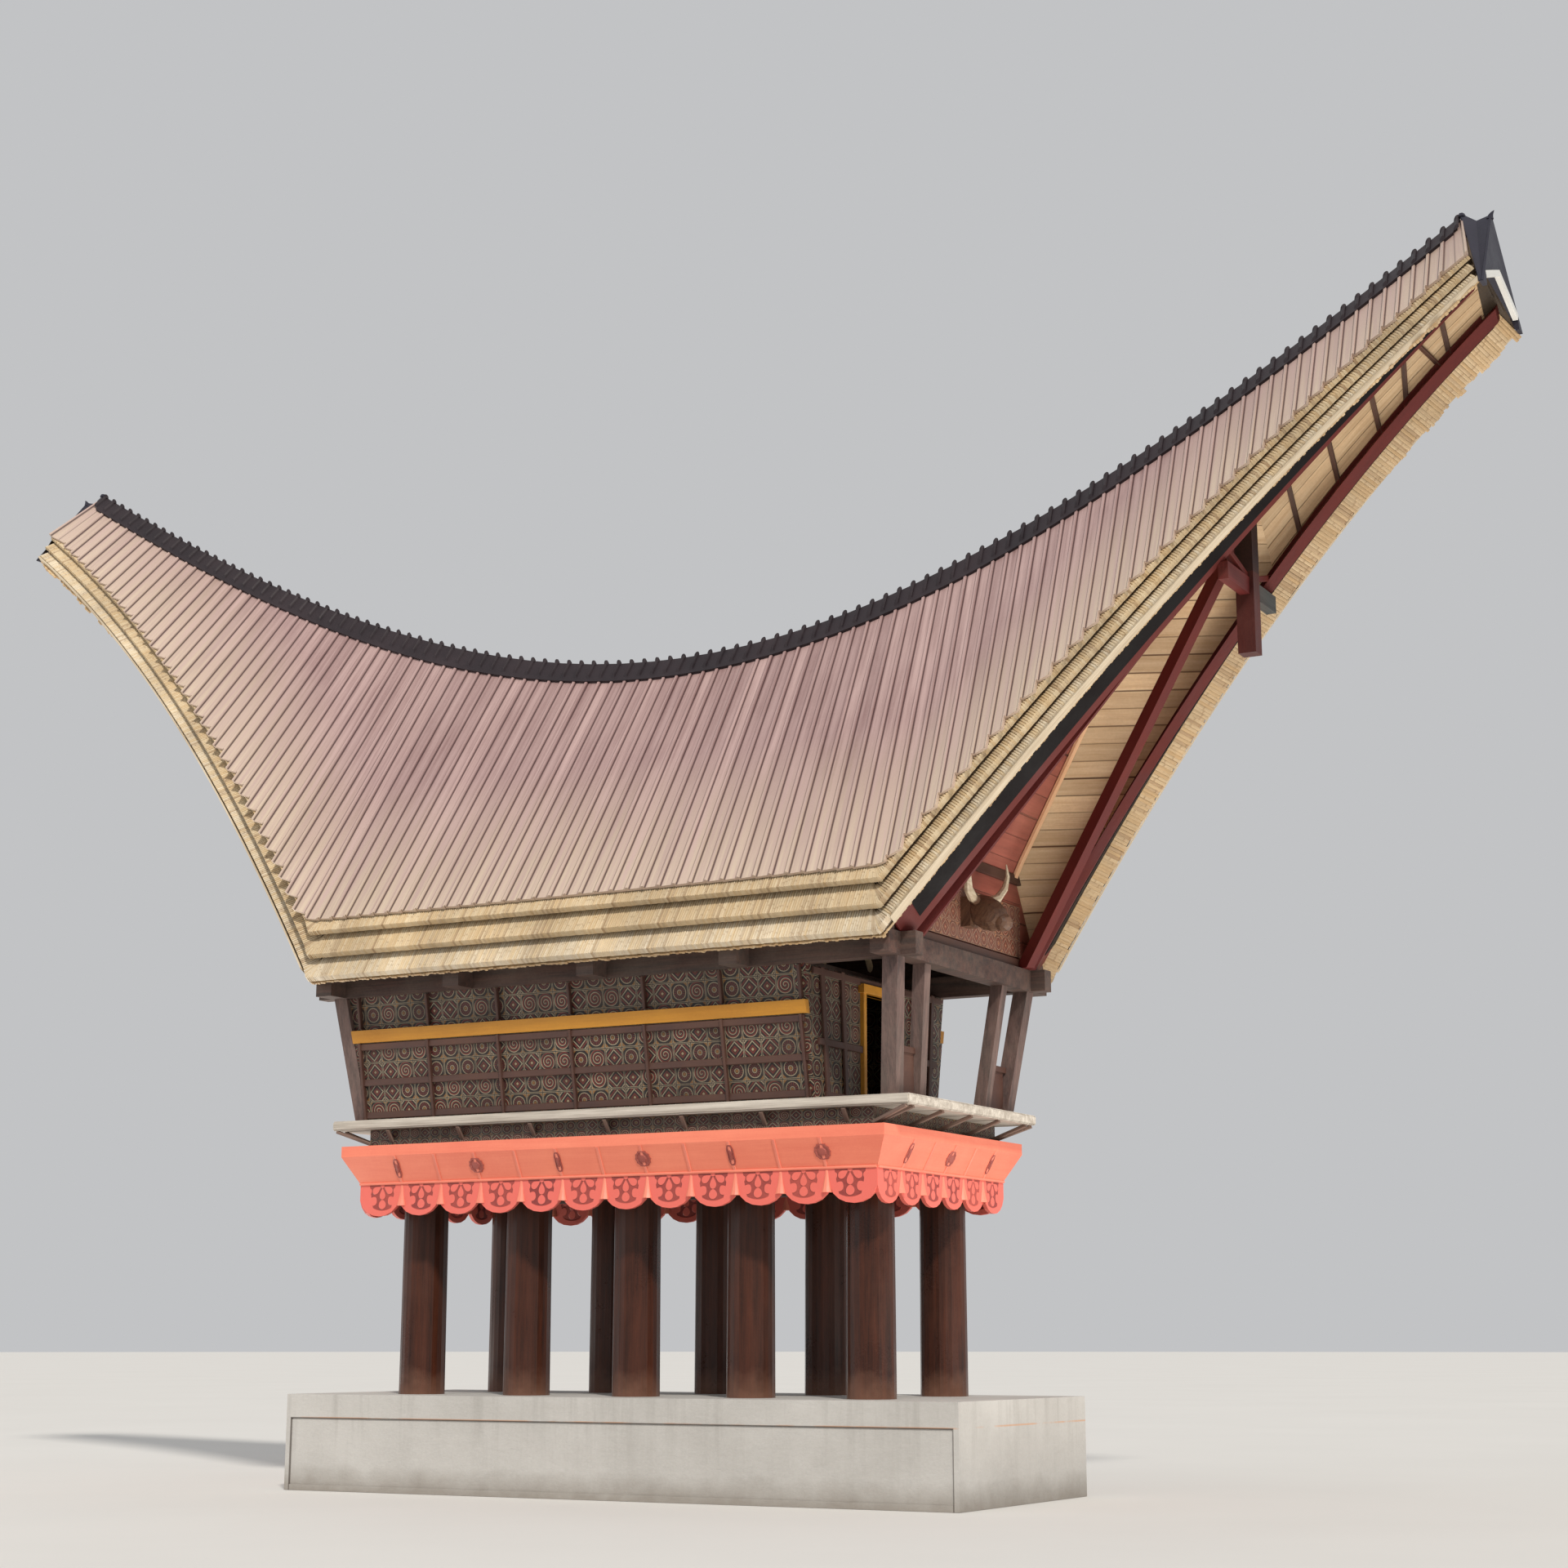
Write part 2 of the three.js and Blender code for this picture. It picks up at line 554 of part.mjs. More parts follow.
/** The gable: an upright board on the cross beam, and a long panel above it that leans out with the prow. */
function gable(end) {
  const { faceX, thickness, kink, lean } = GABLE;
  const top = TIP.height;
  const foot = PLATE.top + TOUCH;
  const profile = [
    [faceX - thickness, foot], [faceX, foot], [faceX, kink], [faceX + lean * (top - kink), top],
    [faceX - thickness + lean * (top - kink), top], [faceX - thickness, kink],
  ];
  const shape = new THREE.Shape(profile.map(([x, z]) => new THREE.Vector2(x, z)));
  const half = PURLIN.innerY - TOUCH;
  const geometry = new THREE.ExtrudeGeometry(shape, { depth: 2 * half, bevelEnabled: false });
  geometry.rotateX(Math.PI / 2);
  const board = toSolid(geometry.translate(0, half, 0));
  return turned(board.intersect(underRoof).subtract(ridgeBeam(TOUCH)), end);
}

/** The carved buffalo head on the front gable, with its horns. */
function buffaloHead() {
  const root = GABLE.faceX + TOUCH;
  const neck = box(root, root + 130, -95, 95, 5560, 5860);
  const face = toSolid(new THREE.SphereGeometry(1, 14, 10).scale(250, 125, 165)
    .rotateY(0.55).translate(root + 270, 0, 5690));
  const muzzle = toSolid(new THREE.SphereGeometry(1, 12, 8).scale(120, 92, 95)
    .rotateY(0.55).translate(root + 430, 0, 5590));
  const horns = Object.values(SIDES).map((side) => horn([
    [root + 190, side * 40, 5800], [root + 200, side * 200, 5835], [root + 230, side * 350, 5890],
    [root + 270, side * 440, 6000], [root + 300, side * 450, 6130], [root + 310, side * 400, 6240],
  ], [55, 52, 45, 35, 22, 6], 8));
  return joined(neck, face, muzzle, ...horns);
}

// Prow timbers

/** The post that hangs under a prow, with a mortise that the crossbeam passes through. */
function hangingPost(end) {
  const { x, width, foot } = HANGER;
  const half = width / 2;
  const { width: w, bottom, top } = CROSSBEAM;
  const post = box(x - half, x + half, -half, half, foot, TIP.height);
  const mortise = box(x - w / 2 - TOUCH, x + w / 2 + TOUCH, -half - 10, half + 10, bottom - TOUCH, top + TOUCH);
  return turned(post.intersect(underRoof).subtract(mortise).subtract(ridgeBeam(TOUCH)), end);
}

/** The beam that passes through the hanging post, notched for the two verge rafters that it carries. */
function crossBeam(end) {
  const { width: w, bottom, top, halfLength } = CROSSBEAM;
  const beam = box(HANGER.x - w / 2, HANGER.x + w / 2, -halfLength, halfLength, bottom, top);
  return turned(beam.subtract(vergeRafter(1, 1, TOUCH)).subtract(vergeRafter(1, -1, TOUCH)), end);
}

/** The straight brace from a wall plate up to the hanging post. */
function strut(end, side) {
  const { width, depth, footX, footY, headX, headY, headZ } = STRUT;
  const foot = [footX, side * footY, PLATE.top];
  const head = [headX, side * headY, headZ];
  const [p, q] = [new THREE.Vector3(...foot), new THREE.Vector3(...head)];
  const extra = q.clone().sub(p).normalize().multiplyScalar(200);
  const bar = timber(p.sub(extra).toArray(), q.add(extra).toArray(), width, depth);
  const half = HANGER.width / 2 + TOUCH;
  const behindPost = box(0, HANGER.x - half, -3000, 3000, PLATE.top + TOUCH, 20000);
  return turned(bar.intersect(behindPost).intersect(underRoof).subtract(vergeRafter(1, side, TOUCH)), end);
}

// Assembly

const house = new THREE.Group();

function add(name, solid, finish) {
  const material = new THREE.MeshStandardMaterial({ metalness: 0, ...COLOURS[finish] });
  const mesh = new THREE.Mesh(toGeometry(solid), material);
  mesh.name = name;
  house.add(mesh);
  return mesh;
}

add('plinth', plinth(), 'concrete');
for (const [sideName, side] of Object.entries(SIDES)) {
  pillarXs.forEach((x, i) => add(`pillar_${sideName}_${i + 1}`, pillar(x, side * PILLAR.rowY), 'pillarWood'));
}
add('floor_bearers', floorBearers(), 'darkWood');
add('ring_beam', ringBeam(), 'carvedWood');
add('floor_deck', floorDeck(), 'greyWood');

const longSkirt = skirt(SKIRT.innerY, SKIRT.innerX, SKIRT.scallopsLong);
const shortSkirt = skirt(SKIRT.innerX, SKIRT.innerY, SKIRT.scallopsShort);
add('skirt_left', longSkirt, 'skirtPaint');
add('skirt_right', longSkirt.rotate([0, 0, 180]), 'skirtPaint');
add('skirt_front', shortSkirt.rotate([0, 0, -90]), 'skirtPaint');
add('skirt_rear', shortSkirt.rotate([0, 0, 90]), 'skirtPaint');

for (const [sideName, side] of Object.entries(SIDES)) {
  add(`wall_${sideName}`, sideWall(side), 'carvedWood');
  const railTop = WALL.carvedTop + RAIL.height;
  add(`rail_${sideName}`, sideBoard(side, WALL.carvedTop, railTop, TOUCH, RAIL.thickness), 'railPaint');
  add(`eaves_purlin_${sideName}`, eavesPurlin(side), 'greyWood');
  add(`front_post_${sideName}`, post(1, side, POST.middleFootY, POST.middleHeadY, POST.middleWidth), 'darkWood');
}
add('front_wall', frontWall(), 'carvedWood');
add('rear_wall', rearWall(), 'carvedWood');
add('wall_plates', plateFrame(), 'greyWood');
add('buffalo_head', buffaloHead(), 'darkWood');

for (const [endName, end] of Object.entries(ENDS)) {
  add(`gable_${endName}`, gable(end), 'gablePaint');
  add(`hanging_post_${endName}`, hangingPost(end), 'redWood');
  add(`crossbeam_${endName}`, crossBeam(end), 'greyWood');
  add(`prow_hood_${endName}`, prowHood(end), 'capMetal');
  for (const [sideName, side] of Object.entries(SIDES)) {
    add(`corner_post_${endName}_${sideName}`, post(end, side, POST.footY, POST.headY, POST.width), 'darkWood');
    add(`verge_rafter_${endName}_${sideName}`, vergeRafter(end, side), 'redWood');
    add(`strut_${endName}_${sideName}`, strut(end, side), 'redWood');
  }
}

add('ridge_beam', ridgeBeam(), 'darkWood');
for (const [sideName, side] of Object.entries(SIDES)) {
  add(`bamboo_roof_${sideName}`, bambooSlope(side), 'bamboo');
  add(`roof_sheet_${sideName}`, sheetSlope(side), 'roofPaint');
}
add('ridge_cap', ridgeCap(), 'capMetal');

export default house;
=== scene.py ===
import bpy
import math
import numpy as np
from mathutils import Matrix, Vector


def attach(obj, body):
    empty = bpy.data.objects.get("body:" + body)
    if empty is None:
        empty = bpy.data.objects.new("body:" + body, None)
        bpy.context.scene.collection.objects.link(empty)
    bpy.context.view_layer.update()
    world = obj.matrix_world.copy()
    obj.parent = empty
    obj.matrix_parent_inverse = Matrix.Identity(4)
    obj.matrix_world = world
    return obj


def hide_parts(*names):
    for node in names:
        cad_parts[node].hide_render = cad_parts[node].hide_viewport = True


# A tongkonan house, dressed over its solids. Metres, +Z up, +X towards the front prow, +Y to its left.
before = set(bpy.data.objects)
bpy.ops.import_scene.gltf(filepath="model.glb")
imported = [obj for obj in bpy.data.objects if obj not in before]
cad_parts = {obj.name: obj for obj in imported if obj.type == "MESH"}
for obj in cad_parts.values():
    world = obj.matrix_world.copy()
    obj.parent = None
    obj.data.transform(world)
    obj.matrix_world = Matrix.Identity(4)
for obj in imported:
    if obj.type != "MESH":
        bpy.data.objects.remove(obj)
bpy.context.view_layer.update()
rng = np.random.default_rng(62)

SIDES = {"left": 1, "right": -1}
ENDS = {"front": 1, "rear": -1}

# Dimensions that the solids have too
EAVES_X, EAVES_Y, EAVES_Z = 3.4, 1.95, 5.2
TIP_X, TIP_Y, TIP_Z = 8.97, 0.72, 11.05
TIP_START_RISE, TIP_WIDTH_POWER = 7.32, 1.6
RIDGE_MIDDLE, RIDGE_ASYMPTOTE, RIDGE_SOFTNESS = 8.73, 0.787, 7.0
CUT_X, CUT_Z, CUT_LEAN = 8.66, 12.06, 0.3
BODY_LAYER, TIP_LAYER, BODY_STEP, TIP_STEP = 0.12, 0.066, 0.22, 0.15
SHEET_STEP, SHEET = 0.6, 0.03
CAP_END, CAP_THICKNESS = 8.62, 0.032
RAFTER_OUTER, RAFTER_WIDTH, RAFTER_BODY_DEPTH, RAFTER_TIP_DEPTH, RAFTER_TAPER = 0.27, 0.14, 0.42, 0.12, 1.5
GABLE_X, GABLE_KINK, GABLE_LEAN = 3.3, 6.25, 0.73
DECK_X, DECK_Y, DECK_BOTTOM, DECK_TOP = 3.4, 1.47, 3.69, 3.79
WALL_TOP, WALL_FOOT_Y, WALL_HEAD_Y, WALL_FRONT_X = 5.08, 1.29, 1.54, 2.34
CARVED_TOP, CARVED_PROUD = 4.6, 0.048
POST_FOOT_X, POST_HEAD_X, POST_WIDTH = 3.13, 3.28, 0.16
DOOR_WIDTH, DOOR_HEIGHT = 0.66, 1.13
SKIRT_X, SKIRT_Y, SKIRT_THICKNESS = 3.01, 1.39, 0.04
SKIRT_BEND, SKIRT_LIP, SKIRT_FLARE = 3.12, 3.4, 0.15
HANGER_X, CROSSBEAM_TOP = 6.4, 8.74
PLATE_TOP = 5.3
RING_X, RING_Y = 2.99, 1.37
PLINTH_X, PLINTH_PANEL_TOP, PLINTH_TOP = 3.88, 0.73, 0.97

# Dimensions of the dressing alone
RIB_SPACING, RIB_LEAN, RIB_HEIGHT = 0.165, 0.35, 0.022
STRIP, FRINGE_STRIP = 0.027, 0.036
GABLE_SQUARE, GABLE_SQUARES_FOOT = 0.18, 5.42

# How far a bar, or a strip of bamboo, is shifted across the finish from the one before it. It starts at a
# whole number of shifts, so a small margin is added before that number is rounded down.
BAR_SHIFT, STRIP_SHIFT, ROUNDING_MARGIN = 4.0, 0.5, 0.02


# Shapes: a shape is its points, its four-cornered faces, and a place on the finish for each corner of a face


def unit(vectors):
    """Vectors divided by their own length."""
    return vectors / np.linalg.norm(vectors, axis=-1, keepdims=True)


def circle(count, wide=1.0, tall=1.0):
    """Points round a level circle of radius 1, or round an ellipse."""
    turn = np.linspace(0, 2 * np.pi, count, endpoint=False)
    return np.stack([wide * np.cos(turn), tall * np.sin(turn), 0 * turn], -1)


def bars(points, along=None, shift=BAR_SHIFT):
    """Closed bars, from points[bar, station, point round the bar].

    Neighbouring stations are joined by four-cornered faces, and each end is closed by faces between its
    facing points. Each bar is turned so that its volume, the sum of p . (q x r) over its faces, is positive.
    On the finish, one way is the distance along the bar and the other is the distance round it, and each
    bar is shifted by its number times a fixed amount, so that no two bars look the same.
    """
    count, stations, around, _ = points.shape
    index = np.arange(count * stations * around).reshape(count, stations, around)
    near, far = index[:, :-1], index[:, 1:]
    sides = np.stack([near, far, np.roll(far, -1, 2), np.roll(near, -1, 2)], -1).reshape(count, -1, 4)
    half = np.arange(around // 2 - 1)
    cap = np.stack([half, half + 1, around - 2 - half, around - 1 - half], -1)
    faces = np.concatenate([sides, index[:, 0][:, cap], index[:, -1][:, cap][..., ::-1]], 1)

    def summed(steps):
        """Distances from the first point, from the steps between points."""
        return np.concatenate([np.zeros((count, 1)), np.cumsum(steps, 1)], 1)

    if along is None:
        along = summed(np.linalg.norm(np.diff(points.mean(2), axis=1), axis=-1))
    loop = np.concatenate([points, points[:, :, :1]], 2)
    round_it = summed(np.linalg.norm(np.diff(loop, axis=2), axis=-1).mean(1))
    round_it += (np.arange(count) * shift)[:, None]
    u0, u1 = along[:, :-1, None], along[:, 1:, None]
    v0, v1 = round_it[:, None, :-1], round_it[:, None, 1:]
    corners = [np.stack(np.broadcast_arrays(u, v), -1) for u, v in ((u0, v0), (u1, v0), (u1, v1), (u0, v1))]
    uv = [np.stack(corners, -2).reshape(count, -1, 4, 2)]
    for u, picked in ((along[:, 0], cap), (along[:, -1], cap[:, ::-1])):
        v = round_it[:, picked]
        uv.append(np.stack([np.broadcast_to(u[:, None, None], v.shape), v], -1))
    uv = np.concatenate(uv, 1)

    flat_points = points.reshape(-1, 3)
    corner = flat_points[faces] - points.mean((1, 2))[:, None, None]
    a, b, c, d = (corner[:, :, k] for k in range(4))
    inside_out = (a * (np.cross(b, c) + np.cross(c, d))).sum((1, 2)) < 0
    faces[inside_out] = faces[inside_out][..., ::-1]
    uv[inside_out] = uv[inside_out][..., ::-1, :]
    return flat_points, faces.reshape(-1, 4), uv.reshape(-1, 4, 2)


def joined(*shapes):
    """Several shapes as one."""
    starts = np.cumsum([0] + [len(points) for points, _, _ in shapes[:-1]])
    faces = np.concatenate([faces + start for (_, faces, _), start in zip(shapes, starts)])
    return np.concatenate([s[0] for s in shapes]), faces, np.concatenate([s[2] for s in shapes])


def at_end(shape, end):
    """A shape at the front end, or its mirror image at the rear end."""
    points, faces, uv = shape
    if end > 0:
        return shape
    return points * [-1, 1, 1], faces[:, ::-1], uv[:, ::-1]


def piece(name, shape, finish, sharp=35.0):
    """A finished piece of the house that rides on its one body."""
    points, faces, uv = shape
    mesh = bpy.data.meshes.new(name)
    mesh.from_pydata(points, [], faces)
    layer = mesh.uv_layers.new(name="finish")
    layer.data.foreach_set("uv", uv.astype(np.float32).ravel())
    mesh.polygons.foreach_set("use_smooth", np.ones(len(faces), bool))
    mesh.set_sharp_from_angle(angle=math.radians(sharp))
    mesh.materials.append(finish)
    mesh.update()
    obj = bpy.data.objects.new(name, mesh)
    bpy.context.scene.collection.objects.link(obj)
    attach(obj, "root")
    return obj


def dress(finish, *nodes):
    """Gives CAD nodes their finish."""
    for node in nodes:
        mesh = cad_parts[node].data
        mesh.materials.clear()
        mesh.materials.append(finish)


def swept(p, q, side, over, a, b, stations=5):
    """Bars from p to q. The points of their section stand a to the side of the line and b over it."""
    ring = a[..., None] * side[:, None] + b[..., None] * over[:, None]
    middle = p[:, None] + (q - p)[:, None] * np.linspace(0, 1, stations)[:, None]
    return bars(middle[:, :, None] + ring[:, None])


def straight_bars(p, q, width, depth, up=(0, 0, 1), bevel=0.006):
    """Straight timbers with chamfered corners, from points p to q.

    The section is an octagon: a rectangle of width by depth with its corners cut by the bevel, in the plane
    of (side, over), where side = up x along and over = along x side.
    """
    p, q = np.atleast_2d(p).astype(float), np.atleast_2d(q).astype(float)
    axis = unit(q - p)
    side = unit(np.cross(up, axis))
    w, d = np.broadcast_to(width, len(p)) / 2, np.broadcast_to(depth, len(p)) / 2
    cut_w = np.array([1, 1, 0, 0, 1, 1, 0, 0]) * bevel
    cut_d = np.array([0, 0, 1, 1, 0, 0, 1, 1]) * bevel
    a = np.array([-1, 1, 1, 1, 1, -1, -1, -1]) * (w[:, None] - cut_w)
    b = np.array([-1, -1, -1, 1, 1, 1, 1, -1]) * (d[:, None] - cut_d)
    return swept(p, q, side, np.cross(axis, side), a, b)


def boxes(low, high, bevel=0.004):
    """Upright chamfered blocks between their lowest and highest corners, each made along its longer side."""
    low, high = np.atleast_2d(low).astype(float), np.atleast_2d(high).astype(float)
    size = high - low
    long_x = size[:, 0] >= size[:, 1]
    shapes = []
    for keep, axis, cross in ((long_x, 0, 1), (~long_x, 1, 0)):
        if keep.any():
            p = (low[keep] + high[keep]) / 2
            q = p.copy()
            p[:, axis], q[:, axis] = low[keep, axis], high[keep, axis]
            shapes.append(straight_bars(p, q, size[keep, cross], size[keep, 2], bevel=bevel))
    return joined(*shapes)


def poles(p, q, radius, sides=8):
    """Round poles from p to q."""
    p, q = np.atleast_2d(p).astype(float), np.atleast_2d(q).astype(float)
    axis = unit(q - p)
    helper = np.where(np.abs(axis[:, 2:3]) > 0.9, [[1.0, 0, 0]], [[0, 0, 1.0]])
    side = unit(np.cross(helper, axis))
    a, b, _ = radius * circle(sides).T
    return swept(p, q, side, np.cross(axis, side), a, b)


def ribbon(path, across, over, ring):
    """A bar along a path. Each point of its ring stands some way across the path and some way over it."""
    return bars(np.stack([path + a * np.asarray(across) + b * np.asarray(over) for a, b in ring], 1)[None])


# The roof's form


def roof(x):
    """The roof's section at x: apex height, slope angle, slope length, layer thickness and step.

    The ridge is a hyperbola, m + a (sqrt(k^2 + x^2) - k). The lower edge is level along the eaves, and along
    a prow it rises as a parabola while its half width shrinks as a power of what is left of the way. The
    slope is the angle of the line from the apex to the edge, found by repeated halving.
    """
    x = np.asarray(x, float)
    run = prow_run(x)
    edge_z = EAVES_Z + TIP_START_RISE * run + (TIP_Z - EAVES_Z - TIP_START_RISE) * run**2
    edge_y = TIP_Y + (EAVES_Y - TIP_Y) * (1 - run) ** TIP_WIDTH_POWER
    layer = BODY_LAYER + (TIP_LAYER - BODY_LAYER) * run
    step = BODY_STEP + (TIP_STEP - BODY_STEP) * run
    ridge = RIDGE_MIDDLE + RIDGE_ASYMPTOTE * (np.hypot(RIDGE_SOFTNESS, x) - RIDGE_SOFTNESS)
    slope = np.full_like(x, np.pi / 4)
    for _ in range(40):
        apex = ridge - (3 * layer + SHEET) / np.cos(slope)
        slope = (slope + np.arctan2(apex - edge_z, edge_y)) / 2
    return apex, slope, edge_y / np.cos(slope), layer, step


def prow_run(x):
    """How much of the way from the eaves' corner to the tip x lies: 0 over the body and 1 at the tip."""
    return np.clip((np.abs(x) - EAVES_X) / (TIP_X - EAVES_X), 0, 1)


def on_slope(x, side, s, h):
    """Points at x, down the slope by s and above the roof's underside by h."""
    apex, slope = roof(x)[:2]
    y = side * (s * np.cos(slope) + h * np.sin(slope))
    z = apex - s * np.sin(slope) + h * np.cos(slope)
    return np.stack(np.broadcast_arrays(x, y, z), -1).astype(float)


def sheet_edge(x):
    """How far down the slope the metal sheets reach."""
    _, _, length, _, step = roof(x)
    return length - (2 + SHEET_STEP) * step


def sheet_top(x):
    """How high the sheets' top face stands above the roof's underside."""
    return 3 * roof(x)[3] + SHEET


def rafter_inner(x):
    """How far down the slope the inner face of a verge rafter stands."""
    return roof(x)[2] - RAFTER_OUTER - RAFTER_WIDTH


def rafter_depth(x):
    """How far a verge rafter reaches below the roof's underside: it tapers with a power of the prow's run."""
    return RAFTER_BODY_DEPTH + (RAFTER_TIP_DEPTH - RAFTER_BODY_DEPTH) * prow_run(x) ** RAFTER_TAPER


def reach(s_of, h_of):
    """Where a line along the roof meets the leaning end: x is put back into the end's own equation."""
    x = np.array(CUT_X)
    for _ in range(30):
        z = on_slope(x, 1, s_of(x), h_of(x))[..., 2]
        x = CUT_X + CUT_LEAN * (CUT_Z - z)
    return float(x)


def edge_frames(side, s_of, h_of, spacing):
    """Evenly spaced places along a line of the roof, with the directions along it, up the slope and outward.

    The line is walked in small steps, its length summed, and x looked up at equal lengths. Along is the
    line's own direction over 0.3 m, outward is along x downslope, and inward is outward x along.
    """
    ahead = 0.15
    end = reach(s_of, h_of)
    x = np.linspace(-end, end, 3001)
    curve = on_slope(x, side, s_of(x), h_of(x))
    walked = np.concatenate([[0], np.cumsum(np.linalg.norm(np.diff(curve, axis=0), axis=1))])
    count = int(walked[-1] / spacing)
    places = (np.arange(count) + 0.5) * walked[-1] / count

    def at(where):
        """Points of the line at some lengths along it."""
        found = np.interp(where, walked, x)
        return on_slope(found, side, s_of(found), h_of(found))

    here = np.interp(places, walked, x)
    slope = roof(here)[1]
    down = np.stack([0 * here, side * np.cos(slope), -np.sin(slope)], -1)
    along = unit(at(np.minimum(places + ahead, walked[-1])) - at(np.maximum(places - ahead, 0)))
    outward = unit(np.cross(along, down)) * side
    outward *= np.sign(outward[:, 2:3])
    inward = np.cross(outward, along)
    inward *= -np.sign((inward * down).sum(-1, keepdims=True))
    return here, at(places), along, inward, outward


def split_bamboo(places, along, inward, outward, width, ends, low, high):
    """Half-round strips of split bamboo that run up the slope from an edge.

    A strip's section is a low arch of six points, as wide as the strip and from low to high above the edge.
    It stands at three distances inward between the strip's two ends.
    """
    across = np.array([-0.5, 0.5, 0.5, 0.24, -0.24, -0.5])
    rise = np.array([0, 0, 0.86, 1, 1, 0.86])
    outer, inner = ends
    distance = outer[:, None] + (inner - outer)[:, None] * np.array([0, 0.5, 1])
    middle = places[:, None] + inward[:, None] * distance[..., None]
    ring = (along[:, None] * (across * width[:, None])[..., None]
            + outward[:, None] * (low[:, None] + (high - low)[:, None] * rise)[..., None])
    return bars(middle[:, :, None] + ring[:, None], shift=STRIP_SHIFT)


def roof_strip(side, x, s0, s1, h0, h1):
    """A bar that follows the roof along x, between two distances down the slope and two heights over it."""
    s = np.stack(np.broadcast_arrays(s0, s1, s1, s0, x)[:-1], -1)
    h = np.stack(np.broadcast_arrays(h0, h0, h1, h1, x)[:-1], -1)
    return bars(on_slope(x[:, None], side, s, h)[None])


# Finishes


class Wire:
    """What a step of a shader gives. A sum or a comparison with it adds a step of arithmetic."""

    def __init__(self, socket):
        self.socket = socket

    def __add__(self, other):
        return calc("ADD", self, other)

    def __sub__(self, other):
        return calc("SUBTRACT", self, other)

    def __rsub__(self, other):
        return calc("SUBTRACT", other, self)

    def __mul__(self, other):
        return calc("MULTIPLY", self, other)

    def __truediv__(self, other):
        return calc("DIVIDE", self, other)

    def __rtruediv__(self, other):
        return calc("DIVIDE", other, self)

    def __mod__(self, other):
        return calc("MODULO", self, other)

    def __lt__(self, other):
        return calc("LESS_THAN", self, other)

    def __gt__(self, other):
        return calc("GREATER_THAN", self, other)

    def __abs__(self):
        return calc("ABSOLUTE", self)


def srgb(red, green, blue):
    """A colour as a screen shows it, from 0 to 255, as the linear colour that a shader takes."""
    c = np.array([red, green, blue]) / 255
    linear = np.where(c <= 0.04045, c / 12.92, ((c + 0.055) / 1.055) ** 2.4)
    return tuple(float(v) for v in linear) + (1.0,)


def put(kind, feeds, **settings):
    """Adds a step to the shader that its first wire comes from, and gives the step's outputs.

    The feeds are its inputs, by name or by number. A colour may be three numbers from 0 to 255.
    """
    tree = next(value.socket.id_data for value in feeds.values() if isinstance(value, Wire))
    node = tree.nodes.new(kind)
    for key, value in settings.items():
        setattr(node, key, value)
    for key, value in feeds.items():
        socket = node.inputs[key]
        if isinstance(value, Wire):
            tree.links.new(value.socket, socket)
        elif socket.type == "RGBA" and len(value) == 3:
            socket.default_value = srgb(*value)
        else:
            socket.default_value = value
    return [Wire(output) for output in node.outputs]


def calc(operation, *values, clamp=False):
    """One step of arithmetic."""
    return put("ShaderNodeMath", dict(enumerate(values)), operation=operation, use_clamp=clamp)[0]


def highest(first, *others):
    """The highest of several values."""
    for other in others:
        first = calc("MAXIMUM", first, other)
    return first


def blend(share, first, second):
    """A colour between two others."""
    return put("ShaderNodeMix", {0: share, 6: first, 7: second}, data_type="RGBA")[2]


def pick(choice, first, second):
    """The first value where the choice is 0, and the second where it is 1."""
    return put("ShaderNodeMix", {0: choice, 2: first, 3: second}, data_type="FLOAT")[0]


def span(value, low, high, to_low=0.0, to_high=1.0):
    """A value stretched from one range to another, and held inside it."""
    return put("ShaderNodeMapRange", {0: value, 1: low, 2: high, 3: to_low, 4: to_high})[0]


def scaled(place, scale=(1, 1, 1), turn=(0, 0, 0), move=(0, 0, 0)):
    """A place stretched, turned or moved."""
    return put("ShaderNodeMapping", {"Vector": place, "Scale": scale, "Rotation": turn, "Location": move})[0]


def parts(place):
    """The three parts of a place."""
    return put("ShaderNodeSeparateXYZ", {"Vector": place})


def flat(x, y):
    """A place made of two values."""
    return put("ShaderNodeCombineXYZ", {"X": x, "Y": y})[0]


def noise(place, scale, detail=3.0, rough=0.55):
    """Soft random values from 0 to 1."""
    feeds = {"Vector": place, "Scale": scale, "Detail": detail, "Roughness": rough}
    return put("ShaderNodeTexNoise", feeds)[0]


def chance(number):
    """A random value from 0 to 1 for each whole number."""
    return put("ShaderNodeTexWhiteNoise", {"W": number}, noise_dimensions="1D")[0]


def shader_group(name, steps, **inputs):
    """A shader group. Its inputs are a place (None), colours and numbers, and its steps make its outputs."""
    tree = bpy.data.node_groups.new(name, "ShaderNodeTree")
    for label, value in inputs.items():
        kind = VECTOR if value is None else COLOUR if isinstance(value, tuple) else NUMBER
        socket = tree.interface.new_socket(label, in_out="INPUT", socket_type=kind)
        if value is not None:
            socket.default_value = value
    given = tree.nodes.new("NodeGroupInput").outputs
    made = steps(*[Wire(given[label]) for label in inputs])
    for label in made:
        tree.interface.new_socket(label, in_out="OUTPUT", socket_type=COLOUR if label == "Color" else NUMBER)
    ends = tree.nodes.new("NodeGroupOutput").inputs
    for label, wire in made.items():
        tree.links.new(wire.socket, ends[label])
    return tree


def weathering_steps(place, colour, stain, amount, size):
    """Broad patches and fine speckle, mixed, that lighten or darken a colour, for dust, fading and stains."""
    patches = noise(place, size, 5.0, 0.62)
    fine = noise(scaled(place, move=(3, 5, 7)), 38.0, 4.0, 0.7)
    mask = span(patches + fine * 0.35, 0.5, 0.95)
    share = calc("MULTIPLY", mask, amount, clamp=True)
    return {"Color": blend(share, colour, stain), "Mask": mask, "Height": fine}


